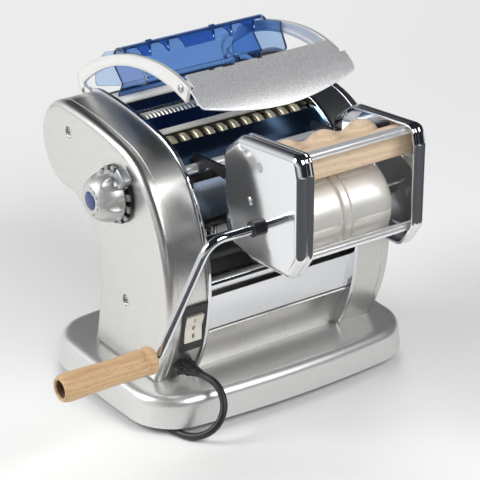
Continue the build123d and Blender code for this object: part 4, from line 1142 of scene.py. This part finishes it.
def makePan(side, v):
    outer, inner, wall, edge = v["outer"], v["outer"] - v["depth"], v["wall"], v["edge"]
    levels = [(outer - wall, edge), (outer - edge, wall), (inner, wall)]
    levels += [(inner + along, inset) for along, inset in v["rim"]] + roundOver(outer, 1, edge, 12)
    pan = slab("pan", smoothed(v["outline"], v["round"], 24), sided(side, levels), "panChrome")
    bore = sided(side, [(outer - 6, v["hole"]), (outer + 2, v["hole"])])
    places = (v["drum"], v["wave"])
    return carved(pan, [turned("hole", bore, place, "panChrome", steps=32) for place in places])


settlePair(makePan, panValues, "attachment", "pan", "chrome")
setScrews("panScrewHeads", panValues["outer"] - 0.1, [panValues["screw"]], 0.85, "attachment")

# rim and middle give the drum's profile: the place from an end or from the centre, and the drop
drumValues = {
    "place": (-135.0, 202.0), "radius": 37.0, "half": 49.5, "grooves": 6, "first": 178, "grooveWidth": 3.4,
    "grooveDepth": 2.0, "grooveFrom": 7.5, "grooveEnd": 4.9, "axle": 4.0, "reach": 69.0,
    "rim": ((0, 5), (0.6, 4), (3.4, 4), (3.6, 2.6), (4.4, 0.4), (5, 0)),
    "middle": ((-44, 0), (-30, 0), (-15, 0), (-7.4, 0), (-6.8, 0.5), (-6.6, 3.2), (-2.6, 3.2), (-2.4, 0.3),
               (-1.9, 0), (3.3, 0), (3.8, 0.3), (4.0, 1.6), (4.9, 1.6), (5.1, 0.4), (5.6, 0), (15, 0),
               (30, 0), (44, 0)),
}


def makeDrum(v):
    r, half, axle, reach = v["radius"], v["half"], v["axle"], v["reach"]
    profile = [(-half, 0), *[(-half + x, r - drop) for x, drop in v["rim"]],
               *[(x, r - drop) for x, drop in v["middle"]],
               *[(half - x, r - drop) for x, drop in v["rim"][::-1]], (half, 0)]

    def slotted(x, radius, turn):
        if radius < r - 0.45 or abs(x) < v["grooveFrom"] or abs(x) > half - v["grooveEnd"]:
            return radius
        step = 2 * pi / v["grooves"]
        across = ((turn - radians(v["first"]) + step / 2) % step - step / 2) * r
        return radius - v["grooveDepth"] if abs(across) < v["grooveWidth"] / 2 else radius
    body = turned("drumBody", profile, v["place"], "drumSteel", 30, 360, slotted)
    line = [(-half, 0), (-half, axle), (reach - 0.5, axle), (reach, axle - 0.5), (reach, 0)]
    rod = turned("axle", line, v["place"], "chrome", steps=32)
    return joined("drumRoll", [body, rod])


settle(makeDrum(drumValues), "cranking", "drum", slot="steel")

waveValues = {
    "place": (-138.0, 257.0), "crest": 17.0, "valley": 11.5, "pitch": 38.5, "half": 48.0, "axle": 4.0,
    "reach": 66.0, "groove": 0.7, "grooveHalf": 0.8, "steps": 192,
}


def makeWave(v):
    # a wave of crests and valleys along X, with a fine groove round the top of each crest
    mean, swing = (v["crest"] + v["valley"]) / 2, (v["crest"] - v["valley"]) / 2
    half, pitch, axle, reach = v["half"], v["pitch"], v["axle"], v["reach"]
    profile = [(-half, 0)]
    for i in range(v["steps"] + 1):
        x = -half + 2 * half * i / v["steps"]
        away = abs((x + pitch / 2) % pitch - pitch / 2)
        groove = v["groove"] * max(1 - away / v["grooveHalf"], 0)
        profile.append((x, mean + swing * cos(2 * pi * x / pitch) - groove))
    body = turned("waveBody", [*profile, (half, 0)], v["place"], "paleBeech", 40)
    line = [(-reach, 0), (-reach, axle), (reach, axle), (reach, 0)]
    rod = turned("axle", line, v["place"], "steel", steps=32)
    return joined("waveRoll", [body, rod])


settle(makeWave(waveValues), "waving", "wooden_roller", slot="wood")

gripValues = {
    "place": (-115.0, 98.0), "start": -158.0,
    "profile": [(0, 4.3), (0, 9.5), (0.8, 11.2), (2.6, 12.2), (4.6, 12.4), (6.6, 12.0), (8.2, 10.9),
                (9.0, 10.2), (9.8, 10.1), (10.6, 10.4), (11.4, 11.2), (12.4, 11.7), (20, 11.5), (35, 11.2),
                (50, 11.3), (65, 11.8), (78, 12.1), (84, 12.1), (87.4, 11.5), (89.4, 10.4), (90, 9.2),
                (89.6, 8.2), (88.6, 7.8), (87.6, 7.7), (72, 7.5), (72, 4.3), (0, 4.3)],
    "bore": [(88.2, 7.65), (72.4, 7.4), (72.4, 4.3)],
}


def makeGrip(v):
    wood, bore = [[(v["start"] - x, radius) for x, radius in v[line]] for line in ("profile", "bore")]
    body = turned("gripBody", wood, v["place"], "gripBeech", 40, 96)
    # the bore's inner face takes the darkened beech, painted shade inside the hollow end
    return joined("gripWood", [body, turned("gripBore", bore, v["place"], "boreBeech", 40, 96, capped=False)])


settle(makeGrip(gripValues), "gripping", "grip", slot="wood")
print("attachment made")

# cord: out of the gland, down to the table, under the base and into its coil behind
cordValues = {
    "diameter": 6.6,
    "route": [
        (-96.0, -64.917, 52.0), (-89.988, -83.753, 48.994), (-84.5, -103.0, 46.5), (-86.5, -118.5, 31.0),
        (-99.5, -121.5, 13.5), (-114.0, -108.0, 3.5), (-121.0, -84.0, 3.5), (-120.0, -44.0, 3.5),
        (-123.0, 5.0, 3.5), (-121.0, 52.0, 3.5), (-108.0, 92.0, 3.5), (-76.0, 122.0, 3.5),
        (-5.0, 136.0, 3.5), (30.0, 139.0, 3.5),
    ],
    "coilCentre": (30.0, 178.0),
    "coilPoints": 24,
    # turns so far, radius and height: each change of column or layer comes a little earlier than the last
    "coilSteps": ((0.0, 39.6, 3.5), (0.12, 41.2, 3.4), (0.917, 41.2, 3.4), (1.0, 34.0, 3.4),
                  (1.833, 34.0, 3.4), (1.917, 34.0, 10.05), (2.75, 34.0, 10.05), (2.833, 41.2, 10.05),
                  (3.667, 41.2, 10.05), (3.75, 41.2, 16.6), (4.583, 41.2, 16.6), (4.667, 34.0, 16.6),
                  (5.5, 34.0, 16.6)),
}


def cordRoute(v):
    points = list(v["route"])
    cx, cy = v["coilCentre"]
    steps, perTurn = v["coilSteps"], v["coilPoints"]
    for i in range(2, int(steps[-1][0] * perTurn) + 1):
        turn = i / perTurn
        before = max((step for step in steps if step[0] <= turn), key=lambda step: step[0])
        after = min((step for step in steps if step[0] >= turn), key=lambda step: step[0])
        share = (turn - before[0]) / ((after[0] - before[0]) or 1)
        radius, height = [a + (b - a) * share for a, b in zip(before[1:], after[1:])]
        angle = turn * 2 * pi - pi / 2
        points.append((cx + radius * cos(angle), cy + radius * sin(angle), height))
    return points


def makeCord(v):
    piece, spline = roundCurve("mainsCord", cordRoute(v), v["diameter"] / 2, 6, "NURBS")
    spline.order_u = 3
    spline.use_endpoint_u = True
    spline.resolution_u = 8
    dress(piece, "rubber")
    return piece


mainsCord = settle(makeCord(cordValues), "chassis", "cord", "cord_coil", slot="black_plastic")
print("cord laid")

# floor and light: the floor in millimetres, lamps and cards in metres; each lamp is a name, place, size,
# power and whether metal and glass show it
studio = {
    "floorHalf": 3000.0, "cardHeight": 1.0, "lampTarget": (0, 0, 0.13),
    "lamps": [
        ("keyLamp", (-1.7, 0.7, 1.5), 1.2, 34, True),
        ("backLamp", (1.2, 1.7, 1.3), 1.2, 21, False),
        ("fillLamp", (-0.7, -2.1, 1.7), 1.2, 19, False),
        ("frontLamp", (0.45, -1.5, 1.3), 1.0, 20, True),
    ],
    # corners of each card on the floor: metres to the right of the camera's foot and ahead of it
    "cards": [
        ((-3.0, 0.5), (3.0, 0.5), (3.0, 1.50), (-3.0, 1.50)),
        ((0.42, 1.50), (3.0, 1.50), (3.0, 2.3), (0.48, 2.3)),
    ],
    "paleSky": (0.85, 0.86, 0.88, 1), "darkSky": (0.02, 0.024, 0.03, 1), "darkHeading": (0.45, -0.35, 0.82),
    "skyBlend": (-0.35, 0.3), "skyStrength": 0.95,
}
materials["floorPaper"] = newMaterial("floorPaper", {"Base Color": (0.90, 0.90, 0.89, 1), "Roughness": 0.7})
materials["darkCard"] = newMaterial("darkCard", {"Base Color": (0.07, 0.074, 0.08, 1), "Roughness": 0.9})


def makeFloor(v):
    reach = v["floorHalf"]
    corners = [(-reach, -reach, 0), (reach, -reach, 0), (reach, reach, 0), (-reach, reach, 0)]
    meshPiece("floor", corners, [(0, 1, 2, 3)], "floorPaper")


def makeCards(v):
    # dark cards, seen by nothing but the gloss of the object's front
    foot, target = Vector(camera["place"][:2]) * mm, Vector(camera["target"][:2]) * mm
    ahead = (target - foot).normalized()
    aside = Vector((ahead.y, -ahead.x))
    for number, corners in enumerate(v["cards"]):
        points = [foot + ahead * far + aside * right for right, far in corners]
        raised = [(p.x / mm, p.y / mm, v["cardHeight"]) for p in points]
        card = meshPiece("card" + str(number), raised, [(0, 1, 2, 3)], "darkCard")
        for ray in ("camera", "diffuse", "transmission", "shadow"):
            setattr(card, "visible_" + ray, False)


def makeLamps(v):
    for name, place, size, power, shown in v["lamps"]:
        data = bpy.data.lights.new(name, "AREA")
        data.size = size
        data.energy = power
        lamp = link(bpy.data.objects.new(name, data))
        lamp.location = place
        lamp.rotation_euler = aimed(place, v["lampTarget"])
        lamp.visible_glossy = shown
        lamp.visible_transmission = shown


def makeSky(v):
    # a pale room with a dark side in front, so that metal has something dark to show
    world = bpy.data.worlds.new("studioWorld")
    bpy.context.scene.world = world
    world.use_nodes = True
    tree = world.node_tree
    coords = put(tree, "ShaderNodeTexCoord").outputs["Generated"]
    facing = put(tree, "ShaderNodeVectorMath", {0: coords, 1: v["darkHeading"]}, operation="DOT_PRODUCT")
    low, high = v["skyBlend"]
    limits = {"Value": facing.outputs["Value"], "From Min": low, "From Max": high}
    share = put(tree, "ShaderNodeMapRange", limits, interpolation_type="SMOOTHSTEP")
    shades = {"Factor": share.outputs["Result"], "A": v["paleSky"], "B": v["darkSky"]}
    blend = put(tree, "ShaderNodeMix", shades, data_type="RGBA")
    background = tree.nodes["Background"]
    background.inputs["Strength"].default_value = v["skyStrength"]
    tree.links.new(blend.outputs["Result"], background.inputs["Color"])


makeFloor(studio)
makeCards(studio)
makeLamps(studio)
makeSky(studio)
bpy.context.scene.view_settings.view_transform = "Standard"
print("studio lit")
